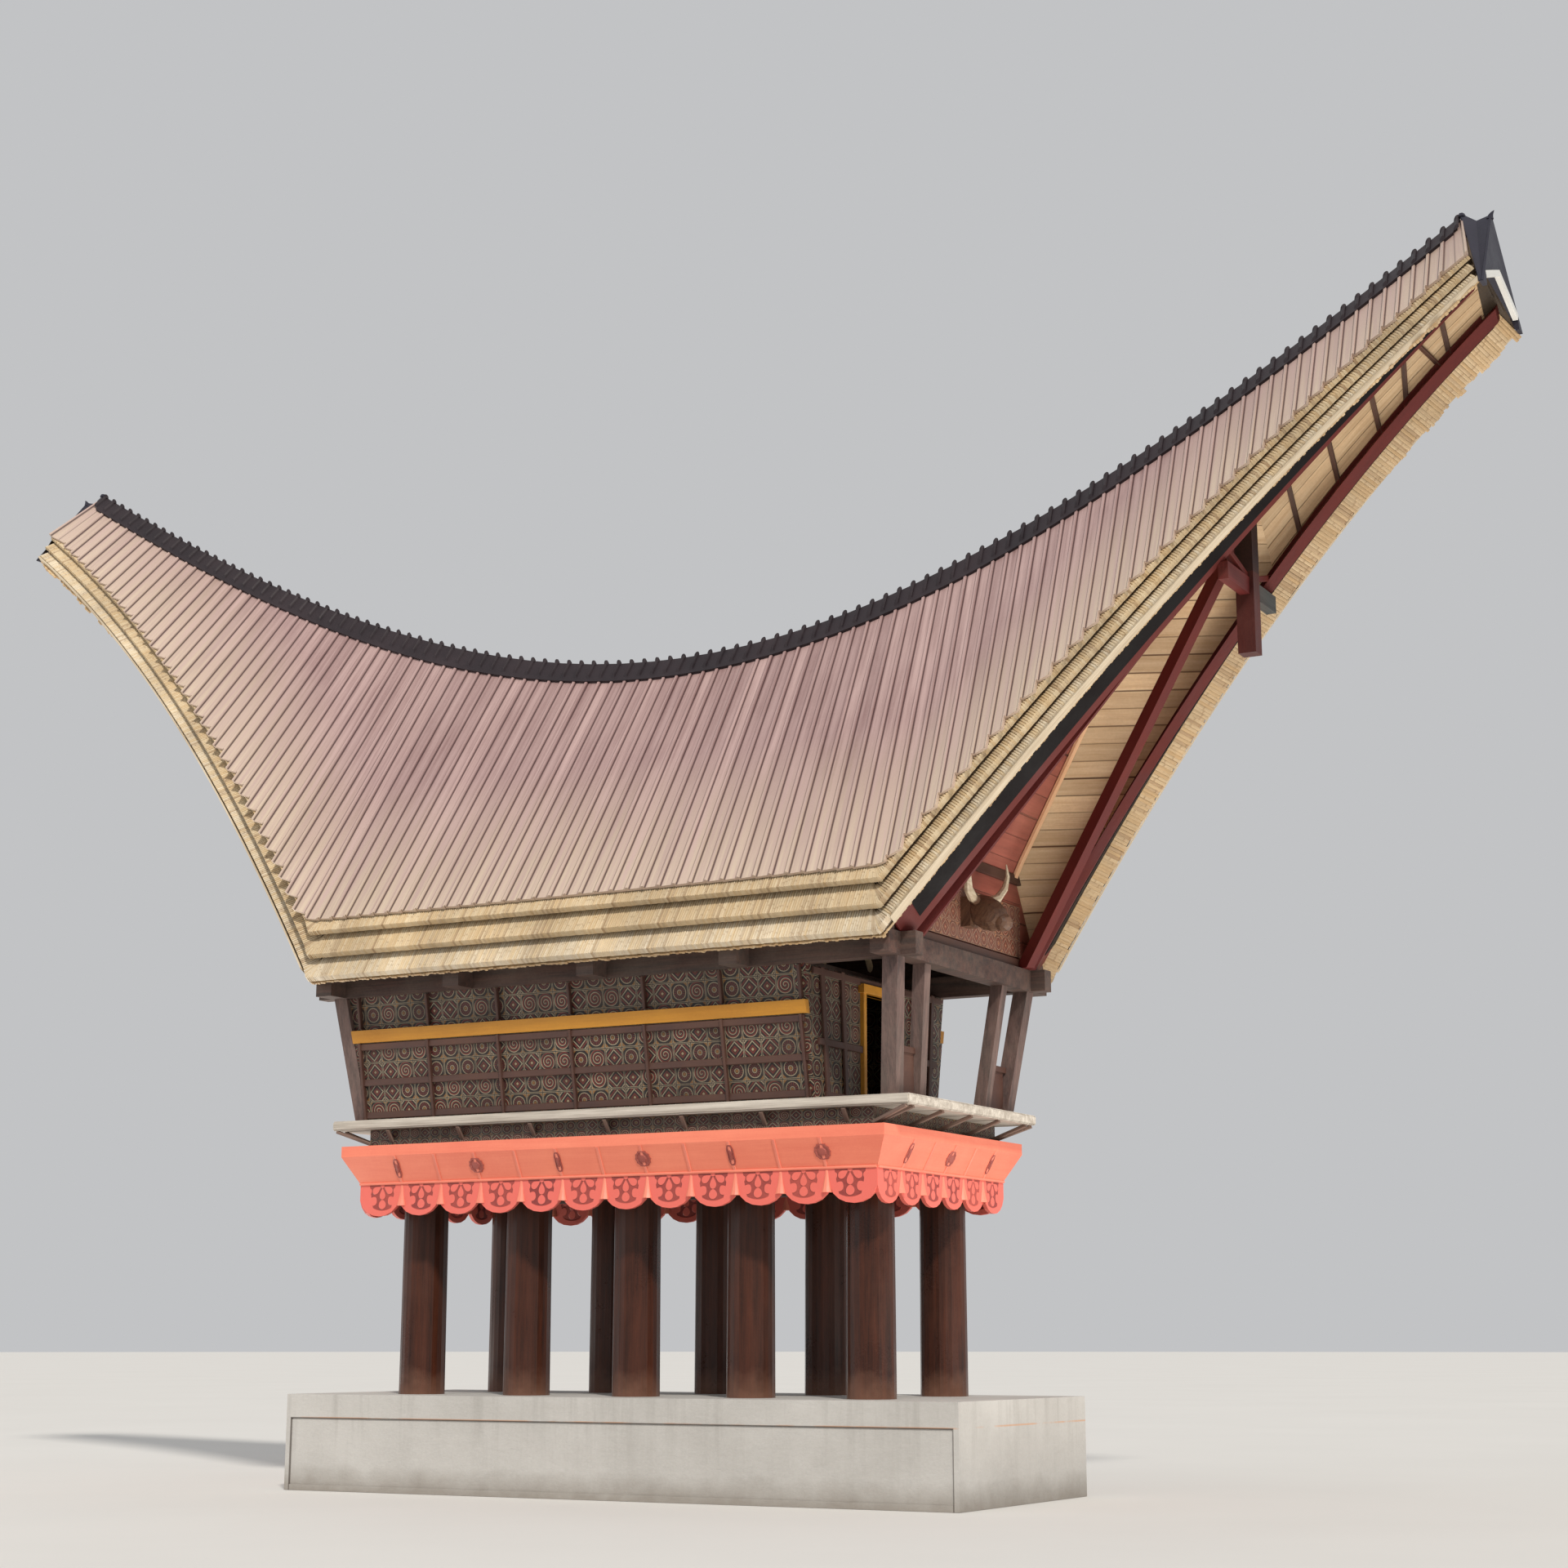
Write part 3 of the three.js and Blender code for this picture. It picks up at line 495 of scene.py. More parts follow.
def grain_steps(place, light, dark, size, contrast):
    """Wood grain that runs along the place's first axis: noise stretched twenty times, with fine pores."""
    sized = put("ShaderNodeVectorMath", {0: place, "Scale": size}, operation="SCALE")[0]
    bands = noise(scaled(sized, (0.7, 14, 14)), 1.0, 4.0, 0.6)
    pores = noise(scaled(sized, (3, 90, 90)), 1.0, 2.0, 0.5)
    mixed = bands * 0.75 + pores * 0.3
    share = calc("ADD", (mixed - 0.52) * (contrast * 2.6), 0.5, clamp=True)
    return {"Color": blend(share, dark, light), "Height": mixed}


def board_steps(place, colour, joint, width, gap, spread):
    """Boards side by side along the place's second axis: a dark joint at each edge and a tone of its own."""
    position = parts(place)[1] / width
    within = calc("FRACT", position)
    edge = calc("MINIMUM", within, 1.0 - within)
    bright = (chance(calc("FLOOR", position)) - 0.5) * spread + 1.0
    lit = put("ShaderNodeVectorMath", {0: colour, "Scale": bright}, operation="SCALE")[0]
    depth = chance(calc("FLOOR", position + 0.5) * 1.7)
    ragged = gap * (depth + 0.35)
    inside = span(edge, ragged * 0.4, ragged)
    gap_share = (1.0 - inside) * span(depth, 0.3, 0.9, 0.35, 1.0)
    return {"Color": blend(gap_share, lit, joint), "Height": inside}


def carving_steps(place, ground, red, white, ochre):
    """Carved and painted squares, a metre of the place to a square: sun wheels, nested diamonds and spirals.

    In a square, r is the distance from its middle and t the angle. A sun wheel is rings of r with rays where
    sin 16 t > 0. Nested diamonds are steps of |x| + |y|. A spiral is where 6 r + t / 2 pi has a low fraction.
    Random numbers pick one of the three for each square, and a line frames each.
    """
    square = put("ShaderNodeVectorMath", {0: place}, operation="FLOOR")[0]
    within = put("ShaderNodeVectorMath", {0: place}, operation="FRACTION")[0]
    draw = put("ShaderNodeTexWhiteNoise", {"Vector": square}, noise_dimensions="3D")[0]
    x, y = (part - 0.5 for part in parts(within)[:2])
    wide, tall = abs(x), abs(y)
    r = calc("SQRT", x * x + y * y)
    t = calc("ARCTAN2", y, x)
    diamond, rim = wide + tall, highest(wide, tall)
    steps = diamond * 11.0 % 4.0
    turns = calc("FRACT", r * 6.0 + t / (2 * math.pi))
    in_spiral = r < 0.45
    reds = [(calc("SINE", t * 16.0) > 0.0) * (r > 0.15) * (r < 0.33), (steps > 1.5) * (steps < 2.6),
            (turns > 0.55) * in_spiral]
    ochres = [highest(r < 0.08, diamond > 0.72), diamond < 0.1, r > 0.56]
    whites = [highest(abs(r - 0.36) < 0.022, abs(r - 0.12) < 0.02), steps < 0.8, (turns < 0.26) * in_spiral]
    second, third = draw > 0.36, draw > 0.7
    line, inside = (rim > 0.455) * (rim < 0.482), rim < 0.455
    colour, masks = ground, []
    for (wheel, nested, spiral), paint in ((reds, red), (ochres, ochre), (whites, white)):
        masks.append(pick(third, pick(second, wheel, nested), spiral))
        colour = blend(masks[-1] * inside, colour, paint)
    raised = highest(*masks) * inside
    return {"Color": blend(line, colour, white), "Height": highest(raised, line)}


NUMBER, COLOUR, VECTOR = "NodeSocketFloat", "NodeSocketColor", "NodeSocketVector"
WEATHERING = shader_group("weathering", weathering_steps, Vector=None, Color=(0.5, 0.5, 0.5, 1),
                          Stain=(0.1, 0.1, 0.1, 1), Amount=0.3, Size=1.0)
GRAIN = shader_group("grain", grain_steps, Vector=None, Light=(0.5, 0.4, 0.3, 1), Dark=(0.2, 0.1, 0.05, 1),
                     Size=1.0, Contrast=1.0)
BOARDS = shader_group("boards", board_steps, Vector=None, Color=(0.5, 0.4, 0.3, 1),
                      Joint=(0.02, 0.01, 0.01, 1), Width=0.15, Gap=0.06, Spread=0.3)
CARVING = shader_group("carving", carving_steps, Vector=None, Ground=(0.02, 0.01, 0.01, 1),
                       Red=(0.4, 0.05, 0.03, 1), White=(0.8, 0.75, 0.6, 1), Ochre=(0.6, 0.35, 0.05, 1))
ALONG_Y, UPRIGHT = (0, 0, math.pi / 2), (0, math.pi / 2, 0)


def use(group, **feeds):
    """A shader group placed in a finish: its outputs by name."""
    return {wire.socket.name: wire for wire in put("ShaderNodeGroup", feeds, node_tree=group)}


def grained(place, light, dark, size=1.0, contrast=1.0):
    """Wood grain along the place's first axis: its colour and its height."""
    made = use(GRAIN, Vector=place, Light=light, Dark=dark, Size=size, Contrast=contrast)
    return made["Color"], made["Height"]


def boarded(place, colour, joint, width, spread):
    """Boards side by side along the place's second axis: their colour and their height."""
    made = use(BOARDS, Vector=place, Color=colour, Joint=joint, Width=width, Gap=0.05, Spread=spread)
    return made["Color"], made["Height"]


def finish(name, roughness, **fixed):
    """An empty finish, its place on the object and its place on the piece."""
    material = bpy.data.materials.new(name)
    material.use_nodes = True
    shader = material.node_tree.nodes["Principled BSDF"]
    shader.inputs["Roughness"].default_value = roughness
    for key, value in fixed.items():
        shader.inputs[key.replace("_", " ")].default_value = value
    places = material.node_tree.nodes.new("ShaderNodeTexCoord").outputs
    return material, Wire(places["Object"]), Wire(places["UV"])


def done(material, colour, mask=None, rough=None, height=None, depth=0.0):
    """Ends a finish: its colour, a range of roughness that follows a mask, and relief with its depth."""
    links, ends = material.node_tree.links, material.node_tree.nodes["Principled BSDF"].inputs
    links.new(colour.socket, ends["Base Color"])
    if rough is not None:
        links.new(span(mask, 0.0, 1.0, *rough).socket, ends["Roughness"])
    if height is not None:
        relief = put("ShaderNodeBump", {"Height": height, "Distance": depth, "Strength": 1.0})[0]
        links.new(relief.socket, ends["Normal"])
    return material


def weathered(material, place, colour, stain, amount, size, rough, height, depth):
    """Ends a finish with patches of a stain, which its roughness follows too."""
    worn = use(WEATHERING, Vector=place, Color=colour, Stain=stain, Amount=amount, Size=size)
    return done(material, worn["Color"], worn["Mask"], rough, height, depth)


def across_face(material, place):
    """On an upright face: whether it looks along x, the level distance across it, and the height."""
    normal = Wire(material.node_tree.nodes.new("ShaderNodeNewGeometry").outputs["Normal"])
    looks_along_x = abs(parts(normal)[0]) > 0.6
    x, y, z = parts(place)
    return looks_along_x, pick(looks_along_x, x, y), z


def painted_wood(name, paint, worn, amount=0.35, roughness=0.55, turn=(0, 0, 0), local=False, gloss=0.5):
    """Paint on sawn timber: the grain shows through, and patches are worn or dusty."""
    material, place, own = finish(name, roughness, Specular_IOR_Level=gloss)
    light = srgb(*paint)
    dark = tuple(c * 0.72 for c in light[:3]) + (1,)
    colour, height = grained(scaled(own if local else place, turn=turn), light, dark, contrast=0.8)
    rough = (roughness - 0.08, roughness + 0.22)
    return weathered(material, place, colour, worn, amount, 1.7, rough, height, 0.0025)


def bare_wood(name, light, dark, turn=(0, 0, 0), local=False):
    """Unpainted timber with open grain and grey weathering."""
    material, place, own = finish(name, 0.75)
    colour, height = grained(scaled(own if local else place, turn=turn), light, dark, contrast=1.3)
    return weathered(material, place, colour, (150, 140, 128), 0.25, 1.3, (0.65, 0.9), height, 0.004)


def render_finish():
    """Whitewashed render: trowel marks, a grimy foot, run marks under the edge and a faint ochre line.

    A groove frames the long sides, drawn only as a dark line of painted shade: it is where the height is
    the panel's top, or |x| the panel's end.
    """
    material, place, _ = finish("white_render", 0.85)
    x, _, height = parts(place)
    white, grey = (190, 187, 182), (148, 144, 138)
    patches = use(WEATHERING, Vector=place, Color=white, Stain=grey, Amount=0.5, Size=0.9)
    streaks = noise(scaled(place, (7, 7, 0.5)), 1.0, 4.0, 0.65)
    runs = span(streaks, 0.5, 0.75) * span(height, 0.2, 0.95, 0.1, 0.5)
    stained = blend(runs, patches["Color"], (146, 142, 136))
    foot = span(height + noise(place, 4.0, 4.0) * -0.22, -0.1, 0.16, 0.6, 0.0)
    grimy = blend(foot, stained, (112, 100, 86))
    line = abs(height - (PLINTH_PANEL_TOP + 0.005)) < 0.008
    broken = line * span(noise(place, 2.2, 3.0), 0.42, 0.56, 0.0, 0.55)
    warm = blend(broken, grimy, (196, 138, 92))
    out, inner, half_groove = abs(x), PLINTH_X - 0.06, 0.007
    level = (abs(height - PLINTH_PANEL_TOP) < half_groove) * (out < inner + half_groove)
    upright = (abs(out - inner) < half_groove) * (height < PLINTH_PANEL_TOP)
    # Painted shade: the groove is a dark line in the colour, with no relief of its own
    colour = blend(highest(level, upright) * 0.7, warm, (70, 60, 52))
    trowel = noise(scaled(place, (2.5, 2.5, 6)), 2.0, 5.0, 0.6)
    return done(material, colour, height=trowel + patches["Height"] * 0.3, depth=0.006)


def sheet_finish():
    """Faded maroon paint on ribbed steel. Dust pales the lower ends, and each sheet has its own tone. Dark
    lines at the feet of the ribs are dirt and painted shade, heavier on the side that the rib shades.

    The finish's first way is the distance up from a sheet's lower end, and its second is across the sheet.
    """
    material, place, own = finish("roof_sheet_paint", 0.42)
    up, round_it, _ = parts(own)
    sheet = calc("FLOOR", round_it / BAR_SHIFT + ROUNDING_MARGIN)
    mauve = blend(chance(sheet), (158, 130, 127), (184, 155, 150))
    streak = noise(scaled(own, (0.55, 16, 1)), 1.0, 5.0, 0.65)
    streaked = blend(span(streak, 0.38, 0.68, 0.0, 0.7), mauve, (112, 78, 76))
    dust = span(up, 0.0, 1.9, 1.0, 0.0) * span(streak, 0.3, 0.6, 0.15, 0.9)
    dusty = blend(dust, streaked, (206, 188, 164))
    patch = use(WEATHERING, Vector=place, Color=dusty, Stain=(190, 164, 160), Amount=0.35, Size=0.8)
    across = round_it - sheet * BAR_SHIFT
    # Dirt and painted shade along the feet of each rib: the first line, on the rib's shaded side, is darker
    rib_dirt_and_shade = patch["Color"]
    for foot, width, share in ((0.036, 0.016, 0.85), (0.154, 0.01, 0.5)):
        rib_dirt_and_shade = blend(span(abs(across - foot), 0.004, width, share, 0.0), rib_dirt_and_shade, (58, 32, 34))
    return done(material, rib_dirt_and_shade, patch["Mask"], (0.34, 0.6), patch["Height"], 0.0008)


def plain_sheet_finish(name, colour, faded, roughness):
    """Painted folded sheet metal with soft dents and faded patches."""
    material, place, _ = finish(name, roughness, Specular_IOR_Level=0.3)
    rough = (roughness - 0.08, roughness + 0.2)
    return weathered(material, place, colour, faded, 0.55, 1.6, rough, noise(place, 5.0, 2.0), 0.006)


def bamboo_finish(name, pale, gold, brown):
    """Split bamboo: a tone for each strip, dark rings at its nodes, fibres along it and grey weathering.

    The finish's first way runs along a strip, and its second is shifted by half a metre for each strip.
    """
    node_gap = 0.31
    material, place, own = finish(name, 0.6)
    along, across, _ = parts(own)
    draw = chance(calc("FLOOR", across * (1 / STRIP_SHIFT) + ROUNDING_MARGIN))
    toned = blend(span(draw, 0.0, 0.7), gold, pale)
    toned = blend(span(draw, 0.75, 1.0, 0.0, 0.75), toned, brown)
    fibre = noise(scaled(own, (2.5, 160, 1)), 1.0, 3.0, 0.6)
    fibred = blend(span(fibre, 0.35, 0.75, 0.0, 0.5), toned, brown)
    to_node = calc("PINGPONG", (along + draw * node_gap) / node_gap, 0.5)
    ring = span(to_node, 0.0, 0.045, 1.0, 0.0)
    ringed = blend(ring * 0.55, fibred, brown)
    return weathered(material, place, ringed, (120, 104, 84), 0.55, 1.1, (0.5, 0.8), fibre + ring, 0.002)


def soffit_finish():
    """Tan boards under a prow: along the prow beyond the hanging post, and level below it."""
    material, place, own = finish("soffit_boards", 0.7)
    x, _, z = parts(place)
    along, across, _ = parts(own)
    ways = []
    for way, width, joint in ((flat(x, z), 0.16, (84, 54, 34)), (flat(along, across), 0.24, (132, 96, 64))):
        colour, _ = grained(way, (246, 220, 180), (214, 178, 134), 1.4)
        ways.append(boarded(way, colour, joint, width, 0.4))
    (low_colour, low_height), (high_colour, high_height) = ways
    upper = abs(x) > HANGER_X
    colour, height = blend(upper, low_colour, high_colour), pick(upper, low_height, high_height)
    return weathered(material, place, colour, (150, 112, 76), 0.45, 0.9, None, height, 0.006)


def gable_finish():
    """Red boards, level on the gable, worn pale in patches."""
    material, place, _ = finish("gable_boards", 0.6)
    way = flat(*parts(place)[1:])
    colour, _ = grained(way, (150, 78, 66), (112, 54, 46), 1.2, 0.9)
    colour, height = boarded(way, colour, (38, 14, 12), 0.2, 0.28)
    return weathered(material, place, colour, (190, 120, 96), 0.45, 1.2, (0.5, 0.75), height, 0.008)


def skirt_finish():
    """Salmon paint. The scalloped foot is darker and cut with leaves in two tiers, inside a plain rim.

    In a scallop, r is the distance below its top middle and t the angle. A leaf lies where |cos n t| is above
    a limit that rises away from the middle of its tier, and the rim is where r nears the scallop's own edge.
    """
    material, place, _ = finish("salmon_paint", 0.5)
    ends, across, z = across_face(material, place)
    board, _ = grained(flat(across, z), (240, 140, 110), (226, 118, 90), contrast=0.6)
    pitch = pick(ends, SKIRT_X / 6, SKIRT_Y / 3)
    aside = (calc("FRACT", across / pitch) - 0.5) * pitch
    down = (SKIRT_BEND - 0.02) - z
    r = calc("SQRT", aside * aside + down * down)
    t = calc("ARCTAN2", aside, down)
    cuts = []
    for turns, middle, half in ((3.0, 0.085, 0.062), (5.0, 0.195, 0.05)):
        away = abs(r - middle) / half
        limit = away * away * 0.65 + 0.35
        cuts.append(span(abs(calc("COSINE", t * turns)) - limit, -0.05, 0.1))
    cuts.append(span(r, 0.022, 0.03, 1.0, 0.0))
    beside = abs(aside) * (0.25 / pitch)
    edge = down * 0.62 + calc("POWER", beside * 6.5, 2.0)
    cuts.append(span(highest(r, edge * 0.9), 0.252, 0.262))
    cut, low = highest(*cuts), z < SKIRT_BEND
    painted = blend(low, board, blend(cut, (128, 44, 42), (222, 104, 92)))
    return weathered(material, place, painted, (214, 100, 82), 0.5, 1.1, (0.42, 0.68), cut * low, 0.008)


def carved_finish(name, square, ground, foot, squash=1.0, red=(104, 34, 25), white=(158, 144, 118),
                  ochre=(128, 88, 42), dust=(46, 34, 29)):
    """Carved and painted squares of a size in metres, counted from a foot height, on any upright face."""
    material, place, _ = finish(name, 0.55)
    _, across, z = across_face(material, place)
    cells = flat(across / square, (z - foot) / (square * squash))
    made = use(CARVING, Vector=cells, Ground=ground, Red=red, White=white, Ochre=ochre)
    return weathered(material, place, made["Color"], dust, 0.7, 2.4, (0.45, 0.75), made["Height"], 0.006)


def pillar_finish():
    """Dark red-brown varnish over grain that runs up the pillar, duller and paler at the foot."""
    material, place, _ = finish("pillar_varnish", 0.4, Coat_Weight=0.12, Coat_Roughness=0.2,
                                Specular_IOR_Level=0.22)
    upright = scaled(place, turn=UPRIGHT)
    colour, relief = grained(upright, (70, 35, 22), (31, 15, 10), 1.1, 1.2)
    foot = span(parts(place)[2] + noise(place, 6.0) * -0.3, PLINTH_TOP - 0.15, PLINTH_TOP + 0.13, 0.55, 0.0)
    dusty = blend(foot, colour, (132, 96, 78))
    return weathered(material, upright, dusty, (94, 52, 34), 0.3, 1.4, (0.24, 0.5), relief, 0.003)


def two_tone_finish(name, roughness, gloss, way, limit, turn, paints, shades, stain, size, rough):
    """Painted timber in one colour up to a limit on one axis of the house, and in another beyond it."""
    material, place, _ = finish(name, roughness, Specular_IOR_Level=gloss)
    beyond = parts(place)[way] > limit
    colour, height = grained(scaled(place, turn=turn), blend(beyond, *paints), blend(beyond, *shades))
    return weathered(material, place, colour, stain, 0.3, size, rough, height, 0.003)


def head_finish():
    """A painted wooden head: dark brown between the eyes and pale on the horns, with the carver's facets."""
    material, place, _ = finish("carved_head", 0.5)
    horn = span(abs(parts(place)[1]) + noise(place, 9.0) * 0.06, 0.19, 0.23)
    wood, height = grained(scaled(place, turn=(0, 0.9, 0)), (118, 84, 62), (62, 40, 30), 2.0, 1.1)
    bone, _ = grained(scaled(place, turn=ALONG_Y), (222, 208, 182), (160, 138, 110), 2.0)
    colour = blend(horn, wood, bone)
    return weathered(material, place, colour, (84, 62, 48), 0.35, 3.0, (0.38, 0.7), height, 0.004)


WHITE_RENDER = render_finish()
PILLAR_VARNISH = pillar_finish()
SHEET_PAINT = sheet_finish()
CAP_PAINT = plain_sheet_finish("ridge_cap_paint", (34, 27, 31), (62, 50, 54), 0.48)
HOOD_PAINT = plain_sheet_finish("hood_paint", (36, 35, 46), (58, 56, 70), 0.5)
BAMBOO = bamboo_finish("split_bamboo", (226, 208, 174), (212, 186, 144), (158, 128, 94))
PALE_BAMBOO = bamboo_finish("pale_bamboo", (232, 220, 196), (222, 200, 162), (176, 150, 116))
FRINGE_BAMBOO = bamboo_finish("fringe_bamboo", (216, 190, 150), (204, 170, 122), (156, 120, 82))
# Painted shade: very dark bamboo for the shadowed gaps under each layer of strips
THATCH_PAINTED_SHADE = bamboo_finish("packed_bamboo_painted_shade", (74, 56, 38), (66, 46, 28), (34, 24, 16))
PALE_BATTEN = bare_wood("pale_batten", (204, 190, 166), (166, 148, 122), local=True)
# Painted shade: black that stands in for the overhang's shadow on the verge rafters
PAINTED_SHADE_BLACK = painted_wood("painted_shade_black", (12, 8, 10), (34, 24, 25), 0.3, 0.6, local=True, gloss=0.15)
OXBLOOD = painted_wood("oxblood_paint", (92, 28, 25), (126, 66, 54), local=True, gloss=0.25)
OXBLOOD_CAD = painted_wood("oxblood_timber", (92, 27, 25), (120, 60, 50), 0.3, turn=(0, 0.9, 0), gloss=0.25)
EDGE_PAINT = painted_wood("orange_edge_paint", (250, 196, 150), (255, 222, 190), 0.4, 0.5, local=True)
WHITE_PAINT = painted_wood("white_board_paint", (226, 226, 222), (180, 172, 160), 0.35, 0.5, local=True)
BATTEN_WOOD = bare_wood("soffit_batten", (96, 56, 38), (58, 32, 24), local=True)
SOFFIT = soffit_finish()
GABLE_BOARDS = gable_finish()
SALMON = skirt_finish()
SALMON_TRIM = painted_wood("salmon_trim", (246, 142, 116), (206, 104, 88), 0.45, 0.5, local=True)
CARVED_WALL = carved_finish("carved_wall", 0.2, (22, 16, 15), DECK_TOP)
CARVED_GABLE = carved_finish("carved_gable", GABLE_SQUARE, (96, 60, 48), GABLE_SQUARES_FOOT,
                             red=(138, 74, 58), white=(176, 140, 116), ochre=(168, 112, 76),
                             dust=(128, 92, 78))
CARVED_SILL = carved_finish("carved_sill", 0.13, (44, 36, 34), DECK_BOTTOM, squash=0.8)
CARVED_FRAME = painted_wood("carved_frame", (70, 42, 34), (110, 78, 62), 0.4, local=True)
MUSTARD = painted_wood("mustard_paint", (198, 136, 32), (150, 96, 36), 0.45, 0.5)
POST_WOOD = bare_wood("post_wood", (104, 78, 72), (60, 43, 41), turn=UPRIGHT)
BEAM_WOOD = bare_wood("beam_wood", (82, 55, 46), (44, 29, 26))
DECK_WOOD = bare_wood("deck_boards", (206, 198, 186), (150, 140, 128))
# Oxblood towards the right verge, and grey-green towards the left one: the grey-green is painted light
# and shade, that half lying in shade and lit green by the trees.
CROSSBEAM_PAINTED_LIGHT = two_tone_finish("crossbeam_painted_light", 0.6, 0.3, 1, 0.05, ALONG_Y,
                                  paints=((104, 30, 28), (74, 78, 76)), shades=((70, 20, 20), (38, 42, 41)),
                                  stain=(96, 70, 62), size=2.2, rough=None)
# Oxblood up to the crossbeam, and black above it
HANGING_POST = two_tone_finish("hanging_post_paint", 0.5, 0.25, 2, CROSSBEAM_TOP + 0.06, UPRIGHT,
                               paints=((68, 25, 22), (20, 16, 18)), shades=((54, 20, 19), (16, 13, 15)),
                               stain=(110, 66, 56), size=2.0, rough=(0.42, 0.7))
POST_BRACKET = bare_wood("bracket_wood", (138, 112, 98), (88, 66, 58), local=True)
CARVED_HEAD = head_finish()
ORNAMENT_PAINT = painted_wood("ornament_paint", (150, 66, 58), (196, 110, 94), 0.4, 0.5, local=True)


# Roof


def thatch_core(side):
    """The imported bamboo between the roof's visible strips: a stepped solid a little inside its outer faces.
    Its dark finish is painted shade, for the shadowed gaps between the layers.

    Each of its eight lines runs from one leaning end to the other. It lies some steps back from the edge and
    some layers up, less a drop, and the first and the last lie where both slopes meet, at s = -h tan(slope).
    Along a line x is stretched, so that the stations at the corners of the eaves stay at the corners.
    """
    inset, lower, bend = 0.05, 0.028, 0.4

    def at(back, level, drop):
        """How far down the slope and how high a line lies, as functions of x."""
        def h_of(x):
            return level * roof(x)[3] - drop

        def s_of(x):
            _, slope, length, _, step = roof(x)
            return -h_of(x) * np.tan(slope) if back is None else length - back * step - inset

        return s_of, h_of

    lines = [(None, 0, 0), (0, 0, 0), (0, 1, lower), (1, 1, lower), (1, 2, lower), (2, 2, lower),
             (2, 3, lower), (None, 3, 0.002)]
    t = np.linspace(-1, 1, 81)
    columns = []
    for line in lines:
        s_of, h_of = at(*line)
        beyond = EAVES_X + (reach(s_of, h_of) - EAVES_X) * (np.abs(t) - bend) / (1 - bend)
        x = np.sign(t) * np.where(np.abs(t) > bend, beyond, EAVES_X * np.abs(t) / bend)
        columns.append(on_slope(x, side, s_of(x), h_of(x)))
    return bars(np.stack(columns, 1)[None])


def bamboo_layer(side, level):
    """The strips that show along the edge of one of the three layers, over a gap as high as a finger whose
    darkness is painted shade on the bamboo core.
    """
    x, *frames = edge_frames(side, lambda x: roof(x)[2] - level * roof(x)[4], lambda x: level * roof(x)[3],
                             STRIP)
    count, (layer, step), top = len(x), roof(x)[3:], level == 2
    outer = rng.uniform(0.0, 0.003, count) - 0.008 * (level > 0)
    inner = step * SHEET_STEP + 0.2 if top else step + 0.06
    width = STRIP * rng.uniform(0.94, 1.02, count)
    low = layer * rng.uniform(0.36, 0.39, count)
    high = layer * rng.uniform(0.97, 1.0, count) - 0.003 * top
    return split_bamboo(*frames, width, (outer, inner), low, high)


def fringe(side):
    """Split bamboo on the underside of the overhang. Near the tip its ends hang unevenly past the verge."""
    ragged_from, ragged_over = 7.2, 1.4
    x, *frames = edge_frames(side, lambda x: roof(x)[2], lambda x: 0, FRINGE_STRIP)
    count = len(x)
    ragged = np.clip((np.abs(x) - ragged_from) / ragged_over, 0, 1)
    clumps = np.repeat(rng.uniform(0.0, 1.0, count // 3 + 1), 3)[:count]
    outer = rng.uniform(0.004, 0.022, count) - ragged * (0.075 * clumps + 0.02 * rng.uniform(0, 1, count))
    width = FRINGE_STRIP * rng.uniform(0.93, 1.02, count)
    thickness = rng.uniform(0.012, 0.02, count)
    return split_bamboo(*frames, width, (outer, RAFTER_OUTER + 0.02), np.full(count, 0.008), -thickness)


def ridge_rise(x):
    """How steeply the ridge rises at x, as height for each unit of length."""
    return RIDGE_ASYMPTOTE * x / np.hypot(RIDGE_SOFTNESS, x)


def rib_drift(x):
    """How far a rib that starts at x drifts towards the prow for each unit down the slope."""
    rise = ridge_rise(x)
    return RIB_LEAN * np.sin(roof(x)[1]) * rise / (1 + rise**2)


def fold(x):
    """Where the sheets' top faces meet over the ridge, as a distance down the slope: -h tan(slope)."""
    return -sheet_top(x) * np.tan(roof(x)[1])


def rib_places():
    """Ribs stand at equal distances along the ridge, whose length is summed from the middle and read back."""
    x = np.linspace(0, CAP_END, 2001)
    walked = np.concatenate([[0], np.cumsum(np.hypot(1, ridge_rise(x[1:])) * np.diff(x))])
    count = round(walked[-1] / RIB_SPACING)
    half = np.interp(np.arange(count + 1) * walked[-1] / count, walked, x)
    return np.concatenate([-half[:0:-1], half])


